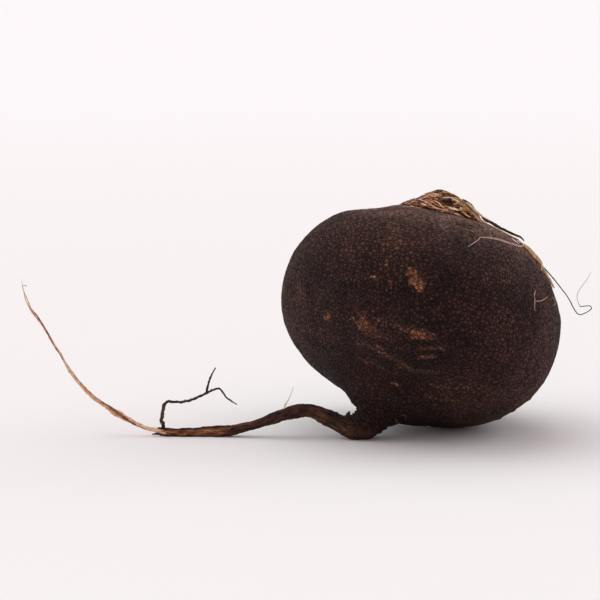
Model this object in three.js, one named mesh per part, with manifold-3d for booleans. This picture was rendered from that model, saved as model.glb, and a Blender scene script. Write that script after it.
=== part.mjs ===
// Round black winter radish, lying on its side with its tap root bent along the ground.
// Millimetres, +Z up. The origin is the middle of the small flat spot that the globe rests on.
import * as THREE from "three";
import { mergeVertices } from "three/addons/utils/BufferGeometryUtils.js";
import Module from "manifold-3d";

const wasm = await Module();
wasm.setup();

// ---------- driving dimensions ----------
const LEAN = THREE.MathUtils.degToRad(9); // the section table below is drawn in a frame leaning 9 degrees back from the ground
const CENTRE_HEIGHT = 39.17; // height of the globe's centre above the ground
const REST_X = 9.2; // resting spot, measured from the globe's centre
const REST_Y = 9.1;
const GLOBE_SIDES = 64; // facets round the globe
const GLOBE_RINGS = 46; // rings from the leaf crown to the neck
const ROOT_SIDES = 12; // facets round the tap root
const ROOT_RINGS = 84; // rings from the neck to the tip
const SKIN_GAP = 0.3; // clearance between the globe and what lies on it
const KNOB_END = 25.9; // section where the globe's own solid is rounded off inside the root
const ROOT_START = 21.6; // section where the tap root's solid starts inside the neck

// Cross sections from the top of the leaf crown (first) down through the globe, the neck and the
// tap root to its tip (last): centre x y z, half width x y z, half depth x y z, and how far the
// section follows the lumpy outline below (1 on the globe, 0 on the neck and the tap root).
const SECTIONS = [
  [5.719, 39.028, 3.573, 0.279, -0.005, 0, -0.008, -0.004, 0.282, 1],
  [6.513, 38.176, 4.231, 2.792, -0.214, 0, -0.08, -0.152, 2.819, 1],
  [6.84, 36.692, 4.999, 5.724, -0.675, 0, -0.165, -0.479, 5.779, 1],
  [6.943, 34.563, 5.731, 8.516, -1.276, 0, -0.245, -0.905, 8.597, 1],
  [6.7, 32.912, 6.389, 11.028, -1.929, 0, -0.318, -1.369, 11.134, 1],
  [6.579, 30.877, 6.901, 12.983, -2.505, 0, -0.374, -1.777, 13.107, 1],
  [6.606, 29.938, 7.157, 13.96, -2.813, 0, -0.402, -1.996, 14.094, 1],
  [6.441, 28.124, 6.727, 20.892, -4.407, 0, -0.652, -3.09, 21.116, 1],
  [6.123, 25.288, 6.055, 27.926, -6.303, 0, -0.981, -4.347, 28.28, 1],
  [5.548, 21.273, 5.104, 34.584, -8.534, 0, -1.422, -5.762, 35.124, 1],
  [4.667, 16.472, 3.966, 39.854, -10.851, 0, -1.95, -7.161, 40.633, 1],
  [3.425, 11.082, 2.682, 43.536, -13.123, 0, -2.551, -8.462, 44.604, 1],
  [1.798, 5.332, 1.3, 45.504, -15.17, 0, -3.188, -9.563, 46.895, 1],
  [-0.194, -0.532, -0.131, 45.716, -16.781, 0, -3.8, -10.352, 47.434, 1],
  [-2.379, -6.334, -1.556, 44.213, -17.748, 0, -4.305, -10.726, 46.219, 1],
  [-4.594, -11.903, -2.924, 41.11, -17.889, 0, -4.616, -10.608, 43.316, 1],
  [-6.736, -17.035, -4.185, 36.586, -17.086, 0, -4.651, -9.959, 38.854, 1],
  [-8.698, -21.541, -5.292, 30.858, -15.294, 0, -4.353, -8.783, 33.016, 1],
  [-10.233, -24.954, -6.131, 24.809, -12.844, 0, -3.776, -7.293, 26.702, 1],
  [-11.351, -27.38, -6.727, 18.836, -10.053, 0, -3.022, -5.662, 20.364, 1],
  [-10.238, -31.548, -8.3, 13.593, -4.078, 0, -1.124, -3.747, 13.642, 0],
  [-13.577, -32.023, -9.1, 8.743, -2.886, 0, -0.795, -2.41, 8.85, 0],
  [-16.304, -33.618, -9.5, 6.024, -2.8, 0, -0.772, -1.66, 6.386, 0],
  [-18.086, -35.061, -9.5, 5.091, -3.054, 0, 0, 0, 5.937, 0],
  [-19.863, -36.343, -9.3, 4.158, -3.649, 0, 0, 0, 5.532, 0],
  [-22.235, -37.048, -9.1, 2.462, -4.176, 0, 0, 0, 4.848, 0],
  [-24.524, -37.104, -9, 1.019, -4.126, 0, 0, 0, 4.25, 0],
  [-26.898, -36.418, -8.8, 0.34, -3.6, 0, 0, 0, 3.616, 0],
  [-29.188, -35.238, -8.6, 0.085, -3.261, 0, 0, 0, 3.262, 0],
  [-31.309, -34.313, -8.4, -1.257, -2.515, 0, 0, 0, 2.811, 0],
  [-33.346, -33.301, -8.225, -1.171, -2.403, 0, 0, 0, 2.673, 0],
  [-35.384, -32.34, -8.05, -0.926, -2.315, 0, 0, 0, 2.493, 0],
  [-37.423, -31.685, -7.875, -0.506, -2.249, 0, 0, 0, 2.305, 0],
  [-39.463, -31.437, -7.7, -0.095, -2.274, 0, 0, 0, 2.276, 0],
  [-41.503, -31.53, -7.525, 0.282, -2.33, 0, 0, 0, 2.347, 0],
  [-43.544, -31.945, -7.35, 0.472, -2.266, 0, 0, 0, 2.315, 0],
  [-45.586, -32.395, -7.175, 0.58, -2.14, 0, 0, 0, 2.217, 0],
  [-47.629, -33.066, -7, 0.652, -1.885, 0, 0, 0, 1.994, 0],
  [-49.673, -33.826, -6.75, 0.658, -1.88, 0, 0, 0, 1.992, 0],
  [-51.719, -34.518, -6.5, 0.606, -1.69, 0, 0, 0, 1.795, 0],
  [-53.765, -35.313, -6.25, 0.516, -1.491, 0, 0, 0, 1.577, 0],
  [-55.813, -35.955, -6, 0.456, -1.478, 0, 0, 0, 1.547, 0],
  [-57.862, -36.597, -5.75, 0.415, -1.486, 0, 0, 0, 1.543, 0],
  [-59.912, -37.121, -5.5, 0.387, -1.575, 0, 0, 0, 1.622, 0],
  [-61.963, -37.627, -5.25, 0.385, -1.595, 0, 0, 0, 1.641, 0],
  [-64.015, -38.134, -5, 0.328, -1.675, 0, 0, 0, 1.707, 0],
  [-66.066, -38.448, -4.86, 0.186, -1.789, 0, 0, 0, 1.798, 0],
  [-68.117, -38.575, -4.72, 0.085, -1.856, 0, 0, 0, 1.858, 0],
  [-70.168, -38.65, -4.58, 0.061, -1.824, 0, 0, 0, 1.825, 0],
  [-72.221, -38.725, -4.44, 0.095, -1.753, 0, 0, 0, 1.755, 0],
  [-74.274, -38.886, -4.3, 0.111, -1.665, 0, 0, 0, 1.669, 0],
  [-76.319, -39.001, -4.386, 0.071, -1.55, 0, 0, 0, 1.551, 0],
  [-78.363, -39.065, -4.471, 0.038, -1.518, 0, 0, 0, 1.518, 0],
  [-80.411, -39.1, -4.457, 0.043, -1.483, 0, 0, 0, 1.484, 0],
  [-82.462, -39.188, -4.393, -0.017, -1.399, 0, 0, 0, 1.399, 0],
  [-84.513, -39.055, -4.329, -0.077, -1.327, 0, 0, 0, 1.329, 0],
  [-86.564, -38.956, -4.264, -0.135, -1.352, 0, 0, 0, 1.359, 0],
  [-88.616, -38.652, -4.2, -0.214, -1.226, 0, 0, 0, 1.244, 0],
  [-90.667, -38.244, -4.157, -0.18, -1.027, 0, 0, 0, 1.043, 0],
  [-92.718, -37.939, -4.114, -0.203, -0.838, 0, 0, 0, 0.863, 0],
  [-95.111, -37.173, -4.064, -0.278, -0.73, 0, 0, 0, 0.782, 0],
  [-98.188, -35.862, -4, -0.386, -0.76, 0, 0, 0, 0.852, 0],
  [-101.266, -34.055, -3.936, -0.478, -0.811, 0, 0, 0, 0.942, 0],
  [-104.349, -32.251, -3.79, -0.584, -0.931, 0, 0, 0, 1.099, 0],
  [-107.441, -30.212, -3.542, -0.454, -0.695, 0, 0, 0, 0.83, 0],
  [-110.535, -28.257, -3.295, -0.467, -0.625, 0, 0, 0, 0.78, 0],
  [-113.631, -25.634, -3.048, -0.555, -0.587, 0, 0, 0, 0.808, 0],
  [-116.728, -22.463, -2.8, -0.502, -0.454, 0, 0, 0, 0.677, 0],
  [-119.492, -19.224, -2.475, -0.444, -0.315, 0, 0, 0, 0.544, 0],
  [-121.566, -15.724, -2.231, -0.372, -0.218, 0, 0, 0, 0.431, 0],
  [-123.641, -12.204, -1.987, -0.386, -0.244, 0, 0, 0, 0.457, 0],
  [-125.718, -9.231, -1.744, -0.38, -0.232, 0, 0, 0, 0.445, 0],
  [-127.795, -5.469, -1.5, -0.371, -0.215, 0, 0, 0, 0.429, 0],
  [-129.882, -2.133, -1.167, -0.358, -0.242, 0, 0, 0, 0.432, 0],
  [-131.971, 0.605, -0.833, -0.371, -0.281, 0, 0, 0, 0.466, 0],
  [-133.365, 2.386, -0.611, -0.368, -0.218, 0, 0, 0, 0.428, 0],
  [-134.759, 5.231, -0.389, -0.289, -0.13, 0, 0, 0, 0.317, 0],
  [-135.805, 7.717, -0.222, -0.218, -0.078, 0, 0, 0, 0.232, 0],
  [-136.572, 10.204, -0.1, -0.122, -0.026, 0, 0, 0, 0.125, 0],
  [-136.991, 13.188, -0.033, -0.016, -0.002, 0, 0, 0, 0.016, 0]
];

// The globe isn't quite round: its radius factor seen from the side, every 5 degrees from -180.
const LUMPS = [
  1.0567, 1.0712, 1.0751, 1.0734, 1.0682, 1.0582, 1.0428, 1.0297, 1.0168, 1.0025, 0.9881, 0.9736,
  0.9592, 0.9447, 0.9303, 0.9176, 0.9164, 0.9203, 0.936, 0.9539, 0.9574, 0.9584, 0.9599, 0.9612,
  0.9631, 0.9655, 0.9673, 0.9673, 0.9735, 0.9773, 0.9782, 0.9805, 0.98, 0.9844, 0.9919, 1.0025,
  1.0142, 1.021, 1.0323, 1.0506, 1.0656, 1.0747, 1.085, 1.0994, 1.1104, 1.1161, 1.1225, 1.1275,
  1.1287, 1.1236, 1.1219, 1.1206, 1.1229, 1.1272, 1.1337, 1.1416, 1.1493, 1.1422, 1.131, 1.1333,
  1.1384, 1.1381, 1.1233, 1.1021, 1.0774, 1.0521, 1.0317, 1.0183, 1.0121, 1.0152, 1.0254, 1.0416
];

// Thin dry pieces: centre line x y z and radius, in the same leaning frame.
const DRY_LEAF_STALK = [
    [16.628, 39.276, -1.255, 0.42],
    [17.886, 37.533, -2.169, 0.48],
    [18.98, 35.483, -2.461, 0.52],
    [20.38, 34.038, -2.9, 0.56],
    [22.04, 32.889, -3.6, 0.6],
    [24.96, 31.444, -4.598, 0.62],
    [27.504, 30.099, -5.412, 0.62],
    [30.26, 28.344, -6.102, 0.6],
    [32.39, 27.082, -6.5, 0.6],
    [34.578, 25.373, -6.8, 0.62],
    [36.476, 23.329, -6.9, 0.65],
    [37.965, 21.557, -7, 0.62],
    [39.317, 19.922, -7.1, 0.55],
    [40.508, 18.425, -7.1, 0.42]
];
const STALK_FIBRE = [
    [33.563, 24.08, -14.018, 0.2],
    [32.521, 24.191, -16.929, 0.22],
    [31.027, 24.555, -19.604, 0.24],
    [29.46, 25.086, -21.434, 0.25],
    [27.266, 25.671, -23.674, 0.25],
    [25.028, 26.33, -25.398, 0.25],
    [22.676, 26.902, -27.163, 0.25],
    [20.82, 26.974, -28.953, 0.22],
    [18.47, 27.049, -30.922, 0.2],
    [17.671, 26.431, -32.577, 0.2],
    [15.767, 25.172, -35.685, 0.2],
    [13.861, 24.007, -38.058, 0.15]
];
const STALK_THREAD = [
    [41.18, 17.539, -7.187, 0.2],
    [42.339, 16.318, -6.807, 0.2],
    [43.693, 14.68, -7.24, 0.2],
    [44.863, 13.317, -7.462, 0.2],
    [46.194, 11.651, -7.417, 0.19],
    [47.485, 9.914, -7.767, 0.18],
    [48.81, 8.247, -8.117, 0.17],
    [50.168, 6.004, -8.467, 0.17],
    [51.083, 4.068, -8.817, 0.17],
    [51.827, 2.711, -9.167, 0.17],
    [52.639, 1.592, -9.517, 0.17],
    [53.688, 1.187, -9.867, 0.17],
    [55.007, 1.664, -10.217, 0.16],
    [56.298, 2.448, -11.117, 0.16],
    [57.147, 3.331, -12.017, 0.16],
    [56.438, 4.179, -12.917, 0.15],
    [54.785, 4.114, -13.817, 0.15],
    [53.135, 3.947, -14.717, 0.14]
];
const SKIN_ROOTLET = [
    [36.961, 9.375, -29.917, 0.18],
    [36.378, 7.823, -31.444, 0.2],
    [36.47, 6.249, -31.884, 0.2],
    [36.29, 4.633, -32.63, 0.2],
    [36.342, 3.067, -32.932, 0.18]
];
const SIDE_ROOT = [
    [-88.172, -36.159, -4.214, 0.5],
    [-88.808, -35.124, -4.446, 0.46],
    [-88.658, -33.884, -4.699, 0.44],
    [-88.167, -31.314, -4.963, 0.42],
    [-87.744, -29.495, -5.226, 0.4],
    [-86.433, -28.461, -5.516, 0.36],
    [-82.837, -28.652, -5.879, 0.32],
    [-80.472, -28.332, -6.203, 0.31],
    [-78.111, -27.743, -6.464, 0.31],
    [-75.959, -26.75, -6.624, 0.3],
    [-73.397, -25.584, -6.854, 0.29],
    [-71.444, -24.584, -7.237, 0.27],
    [-69.288, -23.89, -7.634, 0.25],
    [-67.918, -24.966, -7.977, 0.22],
    [-66.719, -26.688, -8.309, 0.2],
    [-65.146, -27.966, -8.666, 0.17],
    [-62.893, -29.306, -9.125, 0.13]
];
const SIDE_ROOT_TWIG = [
    [-73.333, -25.383, -6.758, 0.24],
    [-73.015, -23.636, -7.079, 0.23],
    [-72.22, -20.869, -7.433, 0.2],
    [-71.051, -18.308, -7.812, 0.16],
    [-70.155, -16.836, -8.173, 0.12]
];
const TAPROOT_HAIR = [
    [-46.642, -29.592, -7.085, 0.2],
    [-45.722, -28.193, -7.163, 0.18],
    [-44.804, -26.326, -7.042, 0.15],
    [-43.681, -23.437, -6.938, 0.11]
];

// Leaf bases round the crown: where each sits on it, which way it faces, which way is up the
// crown, and its width, length and thickness.
const LEAF_BASES = [
  { name: "leaf_base_hollow", at: [11.095, 40.516, -0.662], out: [0.382, 0.727, -0.571], up: [-0.491, 0.683, 0.541], size: [6.2, 5.2, 2.6] },
  { name: "leaf_base_cream", at: [14.22, 36.544, -3.494], out: [0.484, 0.594, -0.643], up: [-0.381, 0.804, 0.456], size: [3.8, 3, 1.5] },
  { name: "leaf_base_ochre", at: [18.05, 34.999, -1.114], out: [0.664, 0.587, -0.463], up: [-0.54, 0.805, 0.245], size: [5, 3.8, 1.9] },
  { name: "leaf_base_front", at: [9.215, 36.913, -5.507], out: [0.2, 0.572, -0.795], up: [-0.065, 0.818, 0.572], size: [7, 3.4, 1.5] },
  { name: "leaf_base_front_left", at: [2.092, 38.946, -3.939], out: [-0.173, 0.698, -0.696], up: [0.474, 0.678, 0.562], size: [7.6, 4.6, 1.5] },
  { name: "leaf_base_left", at: [-3.799, 39.99, 1.681], out: [-0.398, 0.889, -0.226], up: [0.892, 0.432, 0.131], size: [7.8, 4.8, 1.5] },
  { name: "leaf_base_back_left", at: [-4.784, 39.092, 9.533], out: [-0.349, 0.886, 0.304], up: [0.818, 0.447, -0.363], size: [8.2, 5.2, 1.7] },
  { name: "leaf_base_back", at: [0.155, 36.901, 15.772], out: [-0.115, 0.778, 0.618], up: [0.453, 0.594, -0.664], size: [8.4, 5.4, 1.8] },
  { name: "leaf_base_back_right", at: [8.418, 34.764, 17.639], out: [0.192, 0.691, 0.697], up: [0.002, 0.71, -0.704], size: [8.4, 5.4, 1.8] },
  { name: "leaf_base_right", at: [18.044, 34.324, 11.891], out: [0.572, 0.694, 0.438], up: [-0.529, 0.72, -0.449], size: [8.4, 5.4, 1.8] },
  { name: "leaf_base_top_left", at: [2.933, 41.909, 0.723], out: [-0.318, 0.832, -0.456], up: [0.714, 0.526, 0.462], size: [6, 4.4, 1.4] },
  { name: "leaf_base_top_back", at: [6.251, 39.934, 11.673], out: [0.045, 0.783, 0.62], up: [0.1, 0.614, -0.783], size: [6, 5, 1.5] }
];

// ---------- materials ----------
const skin = new THREE.MeshStandardMaterial({ color: 0x2a1d1b, roughness: 0.85, metalness: 0 });
const rootBark = new THREE.MeshStandardMaterial({ color: 0x3a2520, roughness: 0.9, metalness: 0 });
const dryFibre = new THREE.MeshStandardMaterial({ color: 0xb08a5c, roughness: 0.8, metalness: 0 });
const darkFibre = new THREE.MeshStandardMaterial({ color: 0x33241d, roughness: 0.85, metalness: 0 });
const leafBase = new THREE.MeshStandardMaterial({ color: 0x8a6a3c, roughness: 0.85, metalness: 0 });

// ---------- helpers ----------
const toGround = new THREE.Matrix4()
  .makeTranslation(-REST_X, -REST_Y, CENTRE_HEIGHT)
  .multiply(new THREE.Matrix4().makeRotationX(-LEAN));
// the table's axes are right, up, away; the model's are right, away, up
const tableAxes = new THREE.Matrix4().set(1, 0, 0, 0, 0, 0, 1, 0, 0, 1, 0, 0, 0, 0, 0, 1);
const place = toGround.clone().multiply(tableAxes);

const column = (a) => new THREE.CatmullRomCurve3(
  SECTIONS.map((s) => new THREE.Vector3(s[a], s[a + 1], s[a + 2])), false, "catmullrom", 0.5);
const centreLine = column(0);
const halfWidth = column(3);
const halfDepth = column(6);
const LAST = SECTIONS.length - 1;

function lump(angle) {
  let a = (THREE.MathUtils.radToDeg(angle) + 180) / 5;
  a = ((a % 72) + 72) % 72;
  const i = Math.floor(a);
  const f = a - i;
  const at = (j) => LUMPS[(((i + j) % 72) + 72) % 72];
  const v0 = (at(1) - at(-1)) / 2;
  const v1 = (at(2) - at(0)) / 2;
  return (2 * at(0) - 2 * at(1) + v0 + v1) * f ** 3 + (-3 * at(0) + 3 * at(1) - 2 * v0 - v1) * f ** 2 + v0 * f + at(0);
}

// a point of the root's surface: t counts sections from the crown, phi goes round
function rootPoint(t, phi, scale, grow) {
  const c = centreLine.getPoint(t / LAST);
  const h = halfWidth.getPoint(t / LAST);
  const d = halfDepth.getPoint(t / LAST);
  const size = h.length();
  const s = size > 1e-6 ? scale * (1 + grow / size) : scale;
  const p = c.addScaledVector(h, s * Math.cos(phi)).addScaledVector(d, s * Math.sin(phi));
  const i = Math.min(Math.floor(t), LAST - 1);
  const w = THREE.MathUtils.lerp(SECTIONS[i][9], SECTIONS[i + 1][9], t - i);
  const k = 1 + (lump(Math.atan2(p.y, p.x)) - 1) * w;
  p.x *= k;
  p.y *= k;
  return p;
}

// a sphere's rings laid along the root: row j of the sphere goes to section tOf(j), its size times scaleOf(t)
function loft(sides, rings, tOf, scaleOf, grow = 0) {
  const geometry = new THREE.SphereGeometry(1, sides, rings);
  const pos = geometry.attributes.position;
  for (let j = 0; j <= rings; j++) {
    const t = tOf(j / rings);
    for (let i = 0; i <= sides; i++) {
      const pole = j === 0 || j === rings;
      const phi = ((i % sides) / sides) * 2 * Math.PI;
      const p = rootPoint(t, pole ? 0 : phi, pole ? 0 : scaleOf(t), pole ? 0 : grow);
      pos.setXYZ(j * (sides + 1) + i, p.x, p.y, p.z);
    }
  }
  return geometry;
}

// a tapered round strand along a line of points with a radius each
function strand(points, sides, rings) {
  const line = new THREE.CatmullRomCurve3(points.map((p) => new THREE.Vector3(p[0], p[1], p[2])), false, "catmullrom", 0.5);
  const frames = line.computeFrenetFrames(rings, false);
  const geometry = new THREE.SphereGeometry(1, sides, rings);
  const pos = geometry.attributes.position;
  const n = points.length - 1;
  const last = rings;
  for (let j = 0; j <= rings; j++) {
    const u = j / last;
    const c = line.getPointAt(u);
    const q = line.getUtoTmapping(u) * n;
    const k = Math.min(Math.floor(q), n - 1);
    let r = THREE.MathUtils.lerp(points[k][3], points[k + 1][3], q - k);
    if (j === 0 || j === rings) r = 0;
    for (let i = 0; i <= sides; i++) {
      const a = ((i % sides) / sides) * 2 * Math.PI;
      const p = c.clone()
        .addScaledVector(frames.normals[j], r * Math.cos(a))
        .addScaledVector(frames.binormals[j], r * Math.sin(a));
      pos.setXYZ(j * (sides + 1) + i, p.x, p.y, p.z);
    }
  }
  return geometry;
}

function solid(geometry, matrix = place) {
  let g = geometry.clone().applyMatrix4(matrix);
  g.deleteAttribute("normal");
  g.deleteAttribute("uv");
  g = mergeVertices(g, 1e-4);
  const tri = [];
  const index = g.index.array;
  for (let k = 0; k < index.length; k += 3) {
    const [a, b, c] = [index[k], index[k + 1], index[k + 2]];
    if (a !== b && b !== c && a !== c) tri.push(a, b, c);
  }
  const pos = Float32Array.from(g.attributes.position.array);
  let body = new wasm.Manifold(new wasm.Mesh({ numProp: 3, vertProperties: pos, triVerts: Uint32Array.from(tri) }));
  if (body.volume() < 0) {
    for (let k = 0; k < tri.length; k += 3) [tri[k + 1], tri[k + 2]] = [tri[k + 2], tri[k + 1]];
    body = new wasm.Manifold(new wasm.Mesh({ numProp: 3, vertProperties: pos, triVerts: Uint32Array.from(tri) }));
  }
  return body;
}

function toGeometry(body) {
  const m = body.getMesh();
  const g = new THREE.BufferGeometry();
  g.setAttribute("position", new THREE.BufferAttribute(Float32Array.from(m.vertProperties), 3));
  g.setIndex(new THREE.BufferAttribute(Uint32Array.from(m.triVerts), 1));
  g.computeVertexNormals();
  return g;
}

const radish = new THREE.Group();
radish.name = "black_radish";
function piece(name, body, material) {
  const mesh = new THREE.Mesh(toGeometry(body), material);
  mesh.name = name;
  radish.add(mesh);
  return mesh;
}

// ---------- the root: crown, globe, neck and tap root, grown as one ----------
// rings are closer together at the crown and at the neck, where the outline turns most
const globeStations = [0, 0.6, 1.2, 1.8, 2.4, 3, 3.6, 4.3, 5, 5.6, 6.2];
const globeT = (s) => {
  const j = Math.round(s * GLOBE_RINGS);
  if (j < globeStations.length) return globeStations[j];
  const u = (j - globeStations.length + 1) / (GLOBE_RINGS - globeStations.length + 1);
  return THREE.MathUtils.lerp(6.2, KNOB_END, u);
};
const knob = (t) => (t < 24.4 ? 1 : Math.sqrt(Math.max(0, 1 - ((t - 24.4) / (KNOB_END - 24.4)) ** 2)));
const globe = solid(loft(GLOBE_SIDES, GLOBE_RINGS, globeT, knob));

const rootT = (s) => ROOT_START + (LAST - ROOT_START) * (s < 0.22 ? s * 0.7 : 0.154 + (s - 0.22) * (0.846 / 0.78));
const rootScale = (t) => {
  if (t < 22.6) return 0.8 * Math.sqrt(Math.max(0, 1 - (22.6 - t) ** 2));
  return t < 26.4 ? 0.8 + (0.2 * (t - 22.6)) / 3.8 : 1;
};
const tapRoot = solid(loft(ROOT_SIDES, ROOT_RINGS, rootT, rootScale));

// what would reach below the ground is pressed flat: the globe's resting spot and the tap root's
const below = solid(new THREE.BoxGeometry(400, 400, 20), new THREE.Matrix4().makeTranslation(0, 0, -10));
const wholeRoot = globe.add(tapRoot).subtract(below);
piece("radish_root", wholeRoot, skin);

// ---------- leaf bases left on the crown ----------
const crownT = (s) => 8.5 * s;
const crownWithGap = solid(loft(40, 20, crownT, () => 1, SKIN_GAP + 0.05),
  place.clone().multiply(new THREE.Matrix4().makeTranslation(0, SKIN_GAP, 0)));
let placed = crownWithGap;
let bases = null;
for (const base of LEAF_BASES) {
  const out = new THREE.Vector3(...base.out).normalize();
  const across = new THREE.Vector3(...base.up).cross(out).normalize();
  const up = out.clone().cross(across);
  const [width, length, thick] = base.size;
  // a blunt scale that hugs the crown, its upper end standing off it a little
  const scale = new THREE.SphereGeometry(1, 12, 7);
  scale.scale(width / 2, length / 2, thick / 2);
  const pos = scale.attributes.position;
  for (let k = 0; k < pos.count; k++) {
    const lift = pos.getY(k) > 0 ? 0.08 * pos.getY(k) : 0;
    pos.setZ(k, pos.getZ(k) + lift + 0.35 - 0.03 * pos.getX(k) ** 2);
  }
  const frame = new THREE.Matrix4().makeBasis(across, up, out);
  frame.setPosition(...base.at);
  let body = solid(scale, place.clone().multiply(frame));
  if (base.name === "leaf_base_hollow") {
    // the cut leaf stalk is hollow, open at its upper end
    const pith = new THREE.SphereGeometry(1, 12, 8);
    pith.scale(width * 0.3, length * 0.5, thick * 0.28);
    pith.translate(0, length * 0.34, thick * 0.34);
    body = body.subtract(solid(pith, place.clone().multiply(frame)));
  }
  body = body.subtract(placed);
  const bodies = body.decompose().sort((a, b) => b.volume() - a.volume());
  piece(base.name, bodies[0], leafBase);
  // the next base keeps a small gap to this one
  const wider = new THREE.SphereGeometry(1, 12, 7);
  wider.scale(width / 2 + 0.35, length / 2 + 0.35, thick / 2 + 0.35);
  const wp = wider.attributes.position;
  for (let k = 0; k < wp.count; k++) {
    const lift = wp.getY(k) > 0 ? 0.08 * wp.getY(k) : 0;
    wp.setZ(k, wp.getZ(k) + lift + 0.35 - 0.03 * wp.getX(k) ** 2);
  }
  const room = solid(wider, place.clone().multiply(frame));
  placed = placed.add(room);
  bases = bases ? bases.add(room) : room;
}

// ---------- thin dry pieces ----------
const stalk = solid(strand(DRY_LEAF_STALK, 8, 36)).subtract(bases).decompose().sort((a, b) => b.volume() - a.volume())[0];
piece("dry_leaf_stalk", stalk, dryFibre);
piece("stalk_fibre", solid(strand(STALK_FIBRE, 6, 26)), dryFibre);
piece("stalk_thread", solid(strand(STALK_THREAD, 6, 44)), darkFibre);
piece("skin_rootlet", solid(strand(SKIN_ROOTLET, 6, 12)), darkFibre);
piece("side_root", solid(strand(SIDE_ROOT, 6, 44)).add(solid(strand(SIDE_ROOT_TWIG, 6, 14))).subtract(wholeRoot), rootBark);
piece("taproot_hair", solid(strand(TAPROOT_HAIR, 6, 10)).subtract(wholeRoot), dryFibre);

export default radish;
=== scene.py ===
"""Black radish: skin, bark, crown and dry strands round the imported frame."""
import math
import bpy
import numpy as np
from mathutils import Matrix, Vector, noise


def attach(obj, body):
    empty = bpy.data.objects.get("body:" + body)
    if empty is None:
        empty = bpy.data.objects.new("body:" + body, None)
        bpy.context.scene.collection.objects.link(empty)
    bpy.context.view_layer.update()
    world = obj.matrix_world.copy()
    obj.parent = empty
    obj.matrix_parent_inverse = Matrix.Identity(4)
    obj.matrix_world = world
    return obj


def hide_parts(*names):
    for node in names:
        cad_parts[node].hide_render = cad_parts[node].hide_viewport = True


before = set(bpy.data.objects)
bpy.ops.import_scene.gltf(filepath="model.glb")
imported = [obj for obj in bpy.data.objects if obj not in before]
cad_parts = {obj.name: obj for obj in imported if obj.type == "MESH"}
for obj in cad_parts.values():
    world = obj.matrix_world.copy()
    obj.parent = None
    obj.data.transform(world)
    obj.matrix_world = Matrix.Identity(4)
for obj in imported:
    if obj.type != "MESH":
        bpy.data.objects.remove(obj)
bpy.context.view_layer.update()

# The same section table as the CAD solid, in millimetres, in a frame leaning 9 degrees back:
# centre, half width, half depth (right, up, away) and how far the section follows LUMPS.
LEAN = math.radians(9)
REST = (9.2, 9.1)
CENTRE_HEIGHT = 39.17
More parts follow.
